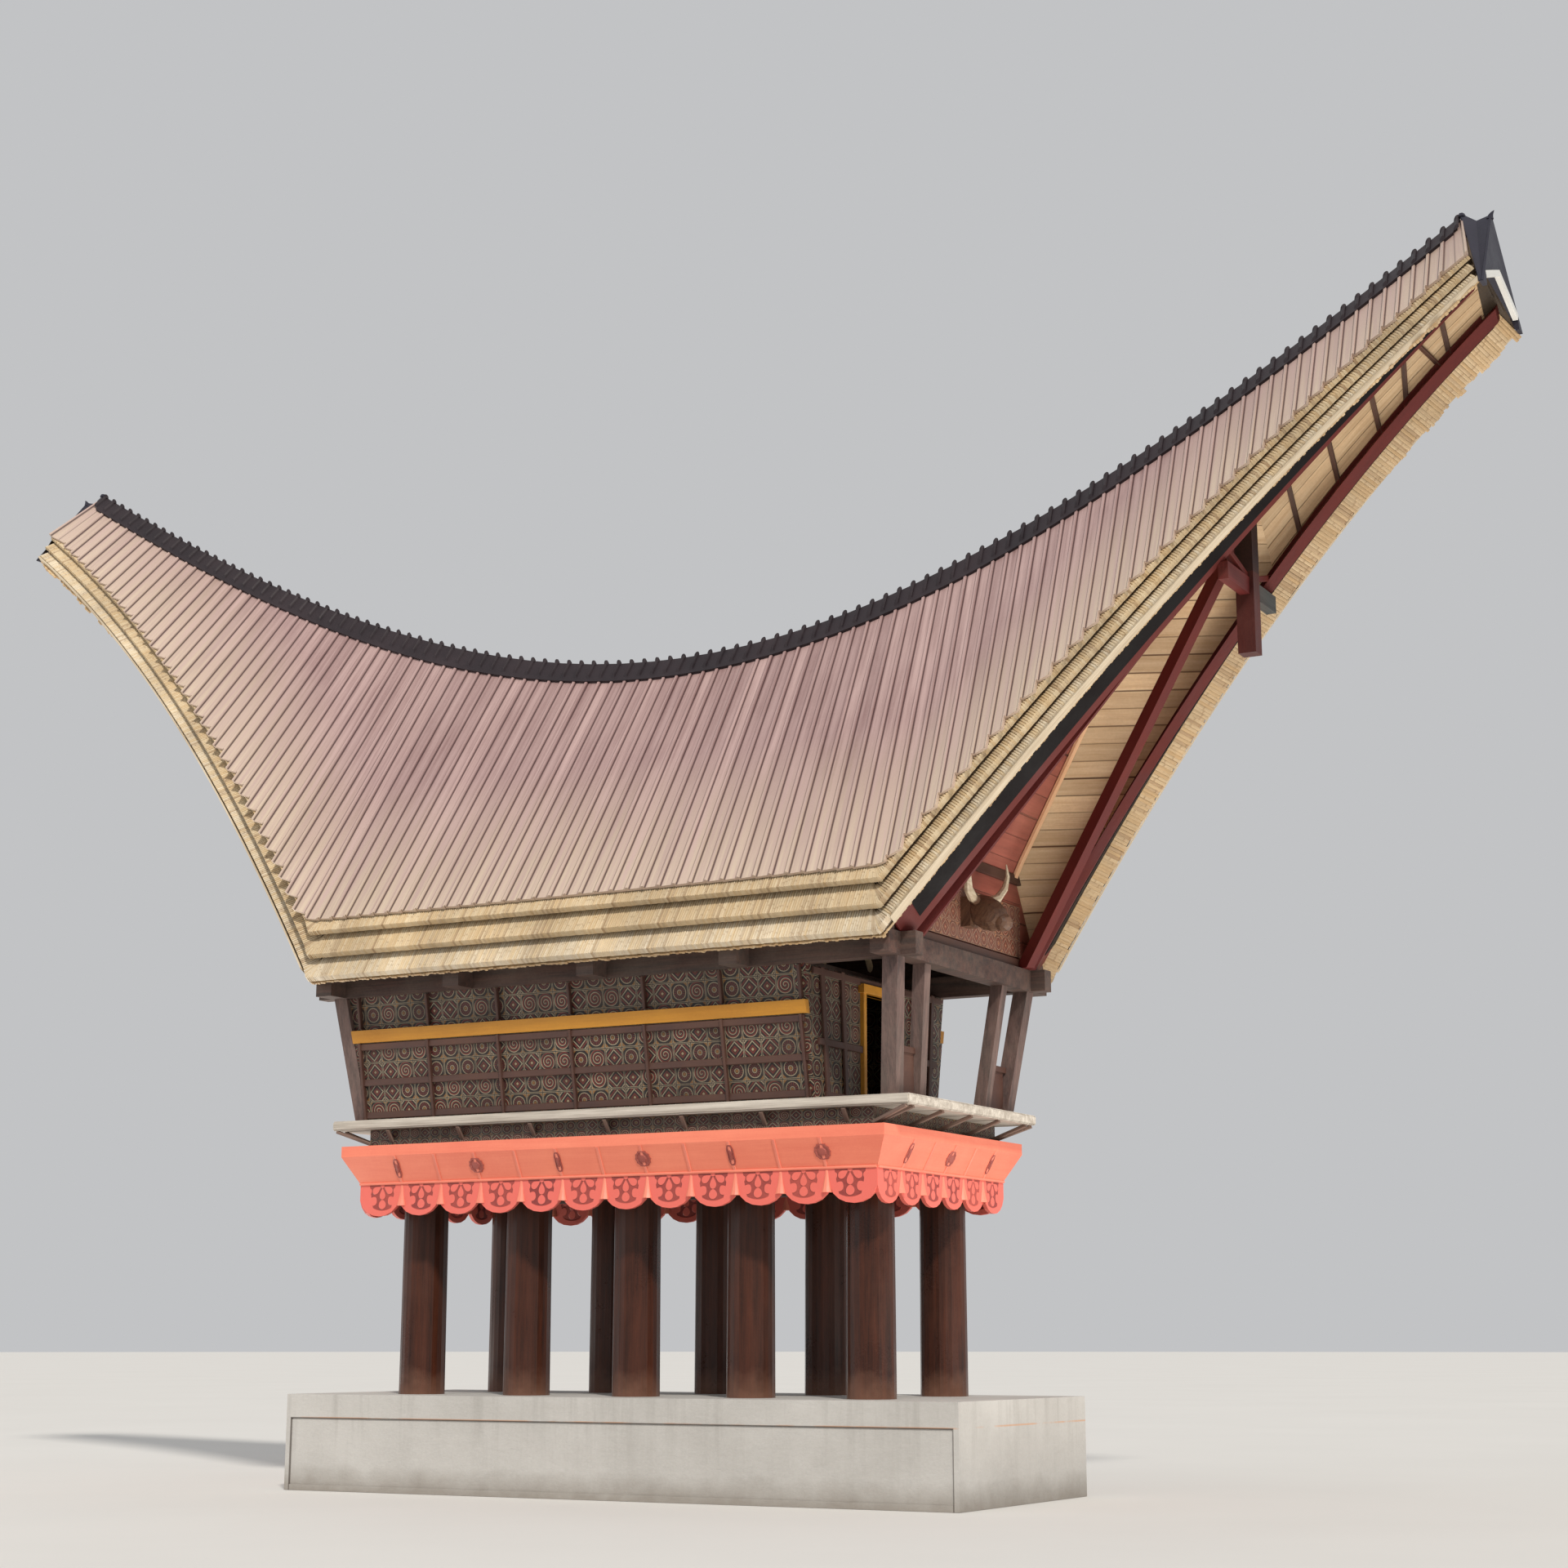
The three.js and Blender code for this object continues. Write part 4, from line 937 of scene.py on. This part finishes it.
def ribbed_sheets(side):
    """Ribbed metal sheets side by side down one slope, each cut square at its lower end.

    On a sheet, x = u + d (s - fold): it starts at u on the ridge and drifts by d for each unit down it. The
    profile across it is a pan with half a rib at either edge. The end line of a square cut has no part
    along the sheet, so across the sheet s grows by k = (1 - c) r sin(slope) / (1 - (2 c - c^2) r^2
    sin(slope)^2 / (1 + r^2)), where r is the ridge's rise and c the share of the lean. The outermost
    sheets widen to follow the leaning ends.
    """
    clear = 0.004
    edges = rib_places()
    profile_x = np.array([0.0, 0.08, 0.14, 0.5, 0.86, 0.92, 1.0])
    profile_h = np.array([1.0, 1.0, 0.0, 0.0, 0.0, 1.0, 1.0])
    u = edges[:-1, None] + np.diff(edges)[:, None] * profile_x
    drift = rib_drift(u)
    lower = sheet_edge(u)
    for _ in range(20):
        lower = sheet_edge(u + drift * (lower - fold(u)))
    middle = u.mean(1, keepdims=True)
    rise, lean = ridge_rise(middle), np.sin(roof(middle)[1])
    squeeze = 1 - (2 * RIB_LEAN - RIB_LEAN**2) * (rise * lean) ** 2 / (1 + rise**2)
    offset = (1 - RIB_LEAN) * rise * lean / squeeze * (u - middle)
    lower = (lower - offset).max(1, keepdims=True) + offset + clear
    start = fold(u)[:, None]
    s = start + (lower[:, None] - start) * np.linspace(0.004, 1, 14)[None, :, None]
    x = u[:, None] + drift[:, None] * (s - start)
    for _ in range(4):
        z = on_slope(x, side, s, sheet_top(x))[..., 2]
        limit = CUT_X + CUT_LEAN * (CUT_Z - z) - clear
        x[-1] += (limit[-1] - x[-1])[:, -1:] * profile_x
        x[0] += (-limit[0] - x[0])[:, :1] * (1 - profile_x)
        x = np.clip(x, -limit, limit)
    top = on_slope(x, side, s, sheet_top(x) + 0.002 + RIB_HEIGHT * profile_h)
    bottom = on_slope(x, side, s, sheet_top(x) - SHEET + clear)
    return bars(np.concatenate([top, bottom[:, :, ::-1]], 2), along=lower.mean(1)[:, None] - s.mean(2))


def cap_ribs():
    """Ribs across the ridge cap, one over each rib of the sheets.

    A rib is a low rounded bar that climbs one leg of the cap, crosses the fold and goes down the other. At
    height h over the roof's underside the fold lies at s = -h tan(slope).
    """
    u = rib_places()
    across = np.array([-0.024, -0.02, -0.009, 0.009, 0.02, 0.024])
    height = np.array([-0.006, 0.012, 0.024, 0.024, 0.012, -0.006])
    rows = []
    for leg, side in ((0.225, -1), (0.11, -1), (0, 1), (0.11, 1), (0.225, 1)):
        x = (u + rib_drift(u) * leg)[:, None] + across
        h = sheet_top(x) + CAP_THICKNESS + height
        rows.append(on_slope(x, side, leg - h * np.tan(roof(x)[1]), h))
    return bars(np.stack(rows, 1))


def ridge_knobs():
    """The knob that each rib of the cap has at the ridge: a blunt cone that leans towards the nearer prow."""
    x = rib_places()
    top = roof(x)[0] + (sheet_top(x) + CAP_THICKNESS) / np.cos(roof(x)[1])
    rise = np.array([-0.015, 0.012, 0.03, 0.042, 0.046])
    size = np.array([0.031, 0.029, 0.023, 0.013, 0.004])
    lean = np.sign(x)[:, None] * np.array([0, 0.002, 0.006, 0.01, 0.011])
    middle = np.stack([x[:, None] + lean, 0 * lean, top[:, None] + rise], -1)
    points = middle[:, :, None] + circle(8, tall=0.9) * size[:, None, None]
    points[..., 2] = np.minimum(points[..., 2], CUT_Z - 0.004)
    return bars(points)


def verge_batten(end, side):
    """A pale batten along the verge of a prow, over the end of the lowest layer."""
    half, low, high = 0.012, 0.004, 0.1
    far = reach(lambda x: roof(x)[2] + half, lambda x: low)
    x = end * np.linspace(3.5, far - 0.01, 60)
    length, share = roof(x)[2], roof(x)[3] / BODY_LAYER
    return roof_strip(side, x, length - half, length + half, low * share, high * share)


def rafter_painted_shade_board(end, side):
    """Painted shade: a black board on the upper part of a verge rafter's outer face, standing in for the
    shadow that the roof's overhang casts there.
    """
    thick, covered = 0.014, 0.79
    x = end * np.linspace(3.55, 8.8, 50)
    s = roof(x)[2] - RAFTER_OUTER
    return roof_strip(side, x, s, s + thick, -covered * rafter_depth(x), -0.022)


def soffit(end, side):
    """Boards under a prow, from the ridge beam to the rafter, as one thin board that follows the slope."""
    x = end * np.linspace(GABLE_X - 0.05, 8.72, 40)[:, None]
    inner, outer = 0.02, rafter_inner(x) + 0.02
    s = inner + (outer - inner) * np.linspace(0, 1, 9)
    bottom, top = on_slope(x, side, s, -0.016), on_slope(x, side, s, -0.002)
    return bars(np.concatenate([bottom, top[:, ::-1]], 1)[None])


def soffit_battens(end, side):
    """Battens across the soffit, from near the ridge to the rafter, and a crossed pair near the tip."""
    near_ridge = np.array([6.72, 7.16, 7.62, 7.98, 8.02, 8.36])
    at_rafter = np.array([6.72, 7.16, 7.62, 8.26, 7.90, 8.36])
    p = on_slope(end * near_ridge, side, 0.1, -0.028)
    q = on_slope(end * at_rafter, side, rafter_inner(at_rafter) + 0.01, -0.028)
    return straight_bars(p, q, 0.05, 0.03)


def edge_battens(end, side):
    """A slim dark batten along the inner face of a verge rafter, where the soffit boards end."""
    x = end * np.linspace(3.9, 8.7, 40)
    s = rafter_inner(x) - 0.05
    return roof_strip(side, x, s, s + 0.055, -0.05, -0.012)


def hood_board(end):
    """The white board inside a hood, under its flat gable, with a rectangular section along five points.

    Its two halves fall away from the middle. The gable leans, at x = gable_x + lean (gable_top - z).
    """
    fall, middle_z = 0.39, 11.385
    gable_x, gable_top, lean = 8.95, 11.99, 0.0625
    y = np.array([-0.6, -0.3, 0.0, 0.3, 0.6])
    z = middle_z - fall * np.abs(y)
    path = np.stack([end * (gable_x + lean * (gable_top - z)), y, z], -1)
    over = unit(np.stack([0 * y, fall * np.sign(y), 1 + 0 * y], -1))
    return ribbon(path, (end, 0, 0), over, [(-0.045, -0.034), (0.005, -0.034), (0.005, 0.03), (-0.045, 0.03)])


def hood_folds(end):
    """Folded rims round a hood's front and back edges, and the small horns at both ends of its ridge."""
    foot_y, foot_z, inside_box = 0.74, 11.035, [9.005, 99, 12.055]
    rims = ((CUT_X + 0.004, CUT_Z - 0.018, 8.972), (8.938, 11.979, 8.996))
    starts = [(end * x, 0.0, z) for _ in SIDES for x, z, _ in rims]
    stops = [(end * foot_x, side * foot_y, foot_z) for side in SIDES.values() for _, _, foot_x in rims]
    shapes = [poles(starts, stops, 0.012, sides=6)]
    t = np.linspace(0, 1, 6)
    size = 0.045 * (1 - t) ** 0.7 + 0.003
    for x, z, lean in ((CUT_X + 0.01, CUT_Z - 0.04, -0.02), (8.93, 11.94, 0.045)):
        middle = np.stack([x + lean * t**2, 0 * t, z + 0.085 * t], -1)
        points = np.minimum(middle[:, None] + circle(6, wide=0.8) * size[:, None, None], inside_box)
        points[..., 0] *= end
        shapes.append(bars(points[None]))
    return joined(*shapes)


core = {name: piece(f"packed_bamboo_painted_shade_{name}", thatch_core(side), THATCH_PAINTED_SHADE)
        for name, side in SIDES.items()}
for name, side in SIDES.items():
    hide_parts(f"bamboo_roof_{name}")
    piece(f"pale_strips_{name}", bamboo_layer(side, 0), PALE_BAMBOO)
    piece(f"bamboo_strips_{name}", joined(bamboo_layer(side, 1), bamboo_layer(side, 2)), BAMBOO)
    piece(f"bamboo_fringe_{name}", fringe(side), FRINGE_BAMBOO)
    sheets = piece(f"ribbed_sheets_{name}", ribbed_sheets(side), SHEET_PAINT, sharp=20)
    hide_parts(f"roof_sheet_{name}")
piece("cap_ribs", cap_ribs(), CAP_PAINT)
piece("ridge_knobs", ridge_knobs(), CAP_PAINT)

PROW_PIECES = [
    ("verge_batten", verge_batten, PALE_BATTEN, "bamboo", 35),
    # The rafter boards are painted shade, a black strip where the overhang shades the rafter
    ("painted_shade_rafter_boards", rafter_painted_shade_board, PAINTED_SHADE_BLACK, "red_wood", 35),
    ("soffit", soffit, SOFFIT, "bamboo", 60),
    ("soffit_battens", soffit_battens, BATTEN_WOOD, "dark_wood", 35),
    ("soffit_edges", edge_battens, OXBLOOD, "red_wood", 35),
]
for end_name, end in ENDS.items():
    for name, make, paint, slot, sharp in PROW_PIECES:
        both_sides = joined(*[make(end, side) for side in SIDES.values()])
        piece(f"{name}_{end_name}", both_sides, paint, sharp)
    piece(f"hood_board_{end_name}", hood_board(end), WHITE_PAINT)
    piece(f"hood_folds_{end_name}", hood_folds(end), HOOD_PAINT)


# Gables and prow timbers


def gable_edges(end):
    """Painted battens up both edges of the leaning gable, where it meets the roof.

    At each height z the gable's x is known, and the roof's underside gives y = (apex - z) / tan(slope).
    The battens stand out square to the gable's leaning face.
    """
    wide, thick = 0.075, 0.03
    z = np.linspace(GABLE_KINK - 0.02, 8.3, 24)
    x = GABLE_X + GABLE_LEAN * (z - GABLE_KINK) + 0.012
    apex, slope = roof(x)[:2]
    y = (apex - z) / np.tan(slope) - 0.06
    ring = [(0, 0), (wide, 0), (wide, thick), (0, thick)]
    out = (end * 0.81, 0, -0.59)
    return joined(*[ribbon(np.stack([end * x, side * y, z], -1), (0, -side, 0), out, ring)
                    for side in SIDES.values()])


def gable_rails():
    """A level rail across the gable at its bend, and one at its foot."""
    face, thick = GABLE_X + 0.001, 0.05
    return boxes([(face, -1.42, GABLE_KINK - 0.06), (face, -1.64, PLATE_TOP + 0.004)],
                 [(face + thick, 1.42, GABLE_KINK + 0.04), (face + thick, 1.64, PLATE_TOP + 0.1)])


def gable_panel():
    """A board for three rows of carved squares across the foot of the gable."""
    face, thick, half, foot = GABLE_X + 0.001, 0.022, 1.36, GABLE_SQUARES_FOOT
    return boxes((face, -half, foot), (face + thick, half, foot + 3 * GABLE_SQUARE))


def post_braces(end):
    """Short braces from the hanging post up to the two verge rafters."""
    x = end * (HANGER_X - 0.02)
    p = [(end * HANGER_X, side * 0.08, CROSSBEAM_TOP + 0.02) for side in SIDES.values()]
    q = [on_slope(x, side, rafter_inner(x) + 0.01, -0.1) for side in SIDES.values()]
    return straight_bars(p, q, 0.06, 0.075, up=(1, 0, 0))


for end_name, end in ENDS.items():
    piece(f"gable_edges_{end_name}", gable_edges(end), EDGE_PAINT)
    piece(f"gable_rails_{end_name}", at_end(gable_rails(), end), CARVED_FRAME)
    piece(f"gable_carving_{end_name}", at_end(gable_panel(), end), CARVED_GABLE)
    piece(f"post_braces_{end_name}", post_braces(end), OXBLOOD)


# Body


def wall_y(z):
    """How far a side wall's outer face stands from the middle plane at height z."""
    return WALL_FOOT_Y + (WALL_HEAD_Y - WALL_FOOT_Y) * (z - DECK_TOP) / (WALL_TOP - DECK_TOP)


def post_x(z):
    """How far the corner posts stand from the middle at height z."""
    return POST_FOOT_X + (POST_HEAD_X - POST_FOOT_X) * (z - DECK_TOP) / (WALL_TOP - DECK_TOP)


def wall_frames(side):
    """Stiles and rails that frame the carved panels of a side wall, and stiles on the boards above."""
    def at(x, z, out):
        """A point that stands out from the wall's face."""
        return x, side * (wall_y(z) + out), z

    x0, x1 = -post_x(4.2) + POST_WIDTH / 2 + 0.005, WALL_FRONT_X - 0.03
    stiles = np.linspace(x0 + 0.035, x1 - 0.035, 7)
    face = CARVED_PROUD + 0.008
    p, q = [], []
    for low, high, out in ((DECK_TOP + 0.004, CARVED_TOP - 0.006, face),
                           (CARVED_TOP + 0.152, WALL_TOP - 0.01, 0.012)):
        p += [at(x, low, out) for x in stiles]
        q += [at(x, high, out) for x in stiles]
    upright = straight_bars(p, q, 0.075, 0.03, up=(1, 0, 0))
    levels = (DECK_TOP + 0.055, 4.185, CARVED_TOP - 0.045)
    rails = straight_bars([at(x0, z, face) for z in levels], [at(x1, z, face) for z in levels], 0.034, 0.07)
    return joined(upright, rails)


def end_wall_frames(face, out, door):
    """Stiles and rails on an end wall whose outer face stands at face(z). Rails stop short of a doorway."""
    low, high, depth, clear = DECK_TOP + 0.004, WALL_TOP - 0.006, out * 0.016, 0.38
    places = (-1.1, -0.72, 0.72, 1.1) if door else (-1.1, -0.55, 0.0, 0.55, 1.1)
    p = [(face(low) + depth, y, low) for y in places]
    q = [(face(high) + depth, y * 1.12, high) for y in places]
    upright = straight_bars(p, q, 0.03, 0.07, up=(0, 1, 0))
    p, q = [], []
    for z, half in ((DECK_TOP + 0.05, 1.16), (4.35, 1.3), (WALL_TOP - 0.05, 1.42)):
        at_door = door and z < DECK_TOP + DOOR_HEIGHT
        for y0, y1 in ((-half, -clear), (clear, half)) if at_door else ((-half, half),):
            p.append((face(z) + depth, y0, z))
            q.append((face(z) + depth, y1, z))
    return joined(upright, straight_bars(p, q, 0.026, 0.07))


def door_frame():
    """Jambs, head and threshold round the doorway, standing a little out of the front wall."""
    half, foot, top = DOOR_WIDTH / 2, DECK_TOP + 0.002, DECK_TOP + DOOR_HEIGHT
    x0, x1, jamb = WALL_FRONT_X - 0.09, WALL_FRONT_X + 0.045, 0.06
    shapes = []
    for y in (-half - jamb / 2, half + jamb / 2):
        x = (x0 + x1) / 2
        shapes.append(straight_bars((x, y, foot), (x, y, top), x1 - x0, jamb, up=(0, 1, 0)))
    shapes.append(boxes([(x0, -half - 0.1, top), (x0, -half, foot)],
                        [(x1 + 0.02, half + 0.1, top + 0.09), (x1, half, DECK_TOP + 0.035)]))
    return joined(*shapes)


def rafter_poles():
    """Round rafters under the eaves, from inside the roof to just short of its edge."""
    x, h, radius = np.linspace(-3.05, 3.05, 12), -0.045, 0.036
    return joined(*[poles(on_slope(x, side, 0.4, h), on_slope(x, side, roof(x)[2] - 0.06, h), radius)
                    for side in SIDES.values()])


def floor_joists():
    """Bamboo joists across the house, close under the deck."""
    radius = 0.042
    p = np.array([(x, -1.2, DECK_BOTTOM - 0.045) for x in np.linspace(-2.7, 2.7, 16)])
    return poles(p, p * [1, -1, 1], radius)


def deck_lines():
    """The sill along the edge of the deck: a pale board on each side."""
    z0, z1, proud, sunk = DECK_BOTTOM + 0.012, DECK_TOP - 0.012, 0.012, 0.002
    low = [(-DECK_X, -DECK_Y - proud, z0), (-DECK_X, DECK_Y - sunk, z0), (-DECK_X - proud, -DECK_Y, z0),
           (DECK_X - sunk, -DECK_Y, z0)]
    high = [(DECK_X, -DECK_Y + sunk, z1), (DECK_X, DECK_Y + proud, z1), (-DECK_X + sunk, DECK_Y, z1),
            (DECK_X + proud, DECK_Y, z1)]
    return boxes(low, high)


def porch_panels():
    """Low panels beside the porch's entrance, from each corner post to the post next to it, in a frame."""
    x = post_x(4.0) - 0.01
    low = [(x - 0.015, 0.86, DECK_TOP + 0.05), (x - 0.035, 0.84, DECK_TOP + 0.004), (x - 0.035, 0.85, 4.22)]
    high = [(x + 0.015, 1.22, 4.24), (x + 0.035, 1.2, DECK_TOP + 0.06), (x + 0.035, 1.26, 4.28)]
    mirrored_low = [(a, -y, z) for (a, _, z), (_, y, _) in zip(low, high)]
    mirrored_high = [(a, -y, z) for (a, _, z), (_, y, _) in zip(high, low)]
    return boxes(low + mirrored_low, high + mirrored_high)


def deck_brackets():
    """Pale struts that carry the deck's overhang, from the ring beam under it out to the edge."""
    foot, edge, top = RING_Y - 0.01, DECK_Y - 0.02, DECK_BOTTOM - 0.01
    p, q = [], []
    for side in SIDES.values():
        for x in np.linspace(-2.7, 2.7, 7):
            p.append((x, side * foot, top - 0.12))
            q.append((x, side * edge, top))
    places = [(y, y) for y in (-1.3, -0.65, 0, 0.65, 1.3)] + [(foot, edge), (-foot, -edge)]
    for end in ENDS.values():
        for y0, y1 in places:
            p.append((end * (RING_X - 0.01), y0, top - 0.14))
            q.append((end * (DECK_X - 0.03), y1, top))
    return straight_bars(p, q, 0.045, 0.035)


piece("porch_panels", porch_panels(), CARVED_FRAME)
piece("deck_brackets", deck_brackets(), POST_BRACKET)
for name, side in SIDES.items():
    piece(f"wall_frames_{name}", wall_frames(side), CARVED_FRAME)
front_frames = end_wall_frames(lambda z: WALL_FRONT_X, 1, True)
rear_frames = end_wall_frames(lambda z: -post_x(z) - 0.035, -1, False)
piece("front_wall_frames", front_frames, CARVED_FRAME)
piece("rear_wall_frames", rear_frames, CARVED_FRAME)
piece("door_frame", door_frame(), MUSTARD)
piece("rafter_poles", rafter_poles(), BAMBOO)
piece("floor_joists", floor_joists(), FRINGE_BAMBOO)
piece("deck_sill", deck_lines(), DECK_WOOD)


# Skirt


def skirt_place(kind, across, z, out=0.0):
    """A point on the outer face of one of the four sides: the face leans out from the bend to the lip."""
    lean = np.clip((z - SKIRT_BEND) / (SKIRT_LIP - SKIRT_BEND), 0, 1) * SKIRT_FLARE
    out += SKIRT_THICKNESS + lean
    if kind in SIDES:
        return np.array([across, SIDES[kind] * (SKIRT_Y + out), z])
    return np.array([ENDS[kind] * (SKIRT_X + out), across, z])


def skirt_trim(kind, half, count):
    """Joint strips up the leaning board, a bead along the bend, and pointed drops between the scallops.

    A drop widens downwards, with a radius that grows with a power of the way down.
    """
    length = 0.21
    joints = np.linspace(-half, half, count + 1)[1:-1]
    p, q = ([skirt_place(kind, a, z, 0.003) for a in joints] for z in (SKIRT_BEND + 0.01, SKIRT_LIP - 0.004))
    strips = straight_bars(p, q, 0.012, 0.03, up=(1, 0, 0) if kind in SIDES else (0, 1, 0), bevel=0.003)
    bead = poles(*[skirt_place(kind, a, SKIRT_BEND, 0.006) for a in (-half - 0.035, half + 0.035)], 0.014)
    t = np.linspace(0, 1, 8)[:, None]
    radius = 0.02 + 0.036 * t**1.5
    tops = np.array([skirt_place(kind, a, SKIRT_BEND - 0.02, -0.014) for a in joints])
    middle = tops[:, None] - t * [0, 0, length]
    return joined(strips, bead, bars(middle[:, :, None] + circle(10) * radius[:, None]))


def skirt_discs(kind, half, count):
    """Carved ornaments on the leaning boards: discs with rays, and leaf-shaped figures, in turn.

    A disc is a ring of radius 1 + 0.06 cos 12 t on a low dome. A leaf is the same dome drawn out upwards,
    with its width cut in by cos 2 t.
    """
    z, size = 3.27, 0.085
    edges = np.linspace(-half, half, count + 1)
    turn = np.linspace(0, 2 * np.pi, 36, endpoint=False)
    foot = skirt_place(kind, 0.0, z)
    over = unit(skirt_place(kind, 0.0, z + 0.05) - foot)
    sideways = np.array([1.0, 0, 0] if kind in SIDES else [0, 1.0, 0])
    out = unit(np.cross(sideways, over))
    out *= np.sign(out @ (foot * [1, 1, 0]))
    disc = size * (1 + 0.06 * np.cos(12 * turn))
    leaf = 0.05 * (1 - 0.3 * np.cos(2 * turn)), 0.105 * (1 + 0.1 * np.cos(4 * turn))
    dome = ((1.0, -0.002), (1.0, 0.008), (0.82, 0.01), (0.74, 0.004), (0.5, 0.006), (0.42, 0.014),
            (0.12, 0.016))
    shapes = []
    for number, centre in enumerate((edges[:-1] + edges[1:]) / 2):
        wide, tall = (disc, disc) if number % 2 else leaf
        outline = (wide * np.cos(turn))[:, None] * sideways + (tall * np.sin(turn))[:, None] * over
        middle = skirt_place(kind, centre, z)
        shapes.append(bars(np.stack([middle + outline * share + rise * out for share, rise in dome])[None]))
    return joined(*shapes)


for kind in (*SIDES, *ENDS):
    half, count = (SKIRT_X, 12) if kind in SIDES else (SKIRT_Y, 6)
    piece(f"skirt_trim_{kind}", skirt_trim(kind, half, count), SALMON_TRIM)
    piece(f"skirt_ornaments_{kind}", skirt_discs(kind, half, count // 2), ORNAMENT_PAINT)


# Carried-over solids and their finishes

CORNERS = [f"{end}_{side}" for end in ENDS for side in SIDES]
dress(WHITE_RENDER, "plinth")
dress(PILLAR_VARNISH, *[f"pillar_{side}_{i}" for side in SIDES for i in range(1, 6)])
dress(CARVED_SILL, "ring_beam")
dress(DECK_WOOD, "floor_deck")
dress(SALMON, *[f"skirt_{kind}" for kind in (*SIDES, *ENDS)])
dress(CARVED_WALL, "wall_left", "wall_right", "front_wall", "rear_wall")
dress(MUSTARD, "rail_left", "rail_right")
dress(POST_WOOD, *[f"corner_post_{corner}" for corner in CORNERS], "front_post_left", "front_post_right")
dress(BEAM_WOOD, "floor_bearers", "wall_plates", "eaves_purlin_left", "eaves_purlin_right", "ridge_beam")
dress(GABLE_BOARDS, "gable_front", "gable_rear")
dress(CARVED_HEAD, "buffalo_head")
dress(HANGING_POST, "hanging_post_front", "hanging_post_rear")
dress(OXBLOOD_CAD, *[f"{timber}_{corner}" for timber in ("strut", "verge_rafter") for corner in CORNERS])
dress(CROSSBEAM_PAINTED_LIGHT, "crossbeam_front", "crossbeam_rear")
dress(CAP_PAINT, "ridge_cap")
dress(HOOD_PAINT, "prow_hood_front", "prow_hood_rear")


# Floor, light and camera


def stage_floor():
    """A pale level disc under the house, on rings of growing size."""
    around, low = 48, 0.002
    radius = np.array([0.0, 4.0, 12.0, 40.0, 120.0, 400.0])
    points = radius[:, None, None] * circle(around) - [0, 0, low]
    index = np.arange(len(radius) * around).reshape(-1, around)
    faces = np.stack([index[:-1], index[1:], np.roll(index[1:], -1, 1), np.roll(index[:-1], -1, 1)], -1)
    mesh = bpy.data.meshes.new("floor")
    mesh.from_pydata(points.reshape(-1, 3), [], faces.reshape(-1, 4))
    floor = bpy.data.objects.new("floor", mesh)
    bpy.context.scene.collection.objects.link(floor)
    material, place, _ = finish("pale_floor", 0.9)
    soft = use(WEATHERING, Vector=place, Color=(214, 212, 208), Stain=(206, 204, 200), Amount=0.5, Size=0.2)
    mesh.materials.append(done(material, soft["Color"]))


def stand(name, data, place, target):
    """Puts a light or the camera at a place and turns it to a target."""
    obj = bpy.data.objects.new(name, data)
    obj.location = place
    obj.rotation_euler = (Vector(target) - Vector(place)).to_track_quat("-Z", "Y").to_euler()
    bpy.context.scene.collection.objects.link(obj)
    return obj


def area_light(name, place, target, size, power, colour):
    """A square soft light at a place, turned to a target."""
    light = bpy.data.lights.new(name, "AREA")
    light.size, light.energy, light.color = size, power, colour
    stand(name, light, place, target).visible_camera = False


stage_floor()
WARM, COOL = (1.0, 0.95, 0.88), (0.92, 0.96, 1.0)
sun = bpy.data.lights.new("sun", "SUN")
sun.energy, sun.angle, sun.color = 2.7, math.radians(5), WARM
stand("sun", sun, (0, 0, 0), (-0.55, 0.62, -0.72))
area_light("fill", (-22, -20, 12), (0, 0, 6), 14, 900, COOL)
for end in ENDS.values():
    area_light("bounce", (end * 10.5, 0, 0.1), (end * 10.5, 0, 10), 8, 1000, WARM)

world = bpy.data.worlds.new("studio")
world.use_nodes = True
sky = world.node_tree.nodes["Background"].inputs
sky["Color"].default_value = (0.9, 0.91, 0.93, 1)
sky["Strength"].default_value = 0.6
bpy.context.scene.world = world
bpy.context.scene.view_settings.view_transform = "Standard"

EYE_HEIGHT, FIELD_OF_VIEW = 1.5, math.radians(33.6)
camera = bpy.data.cameras.new("camera")
camera.sensor_width = 36
camera.lens = camera.sensor_width / 2 / math.tan(FIELD_OF_VIEW / 2)
camera.clip_end = 1000
bpy.context.scene.camera = stand("camera", camera, (14.25, -23.38, EYE_HEIGHT), (1.25, 0, 7.25))
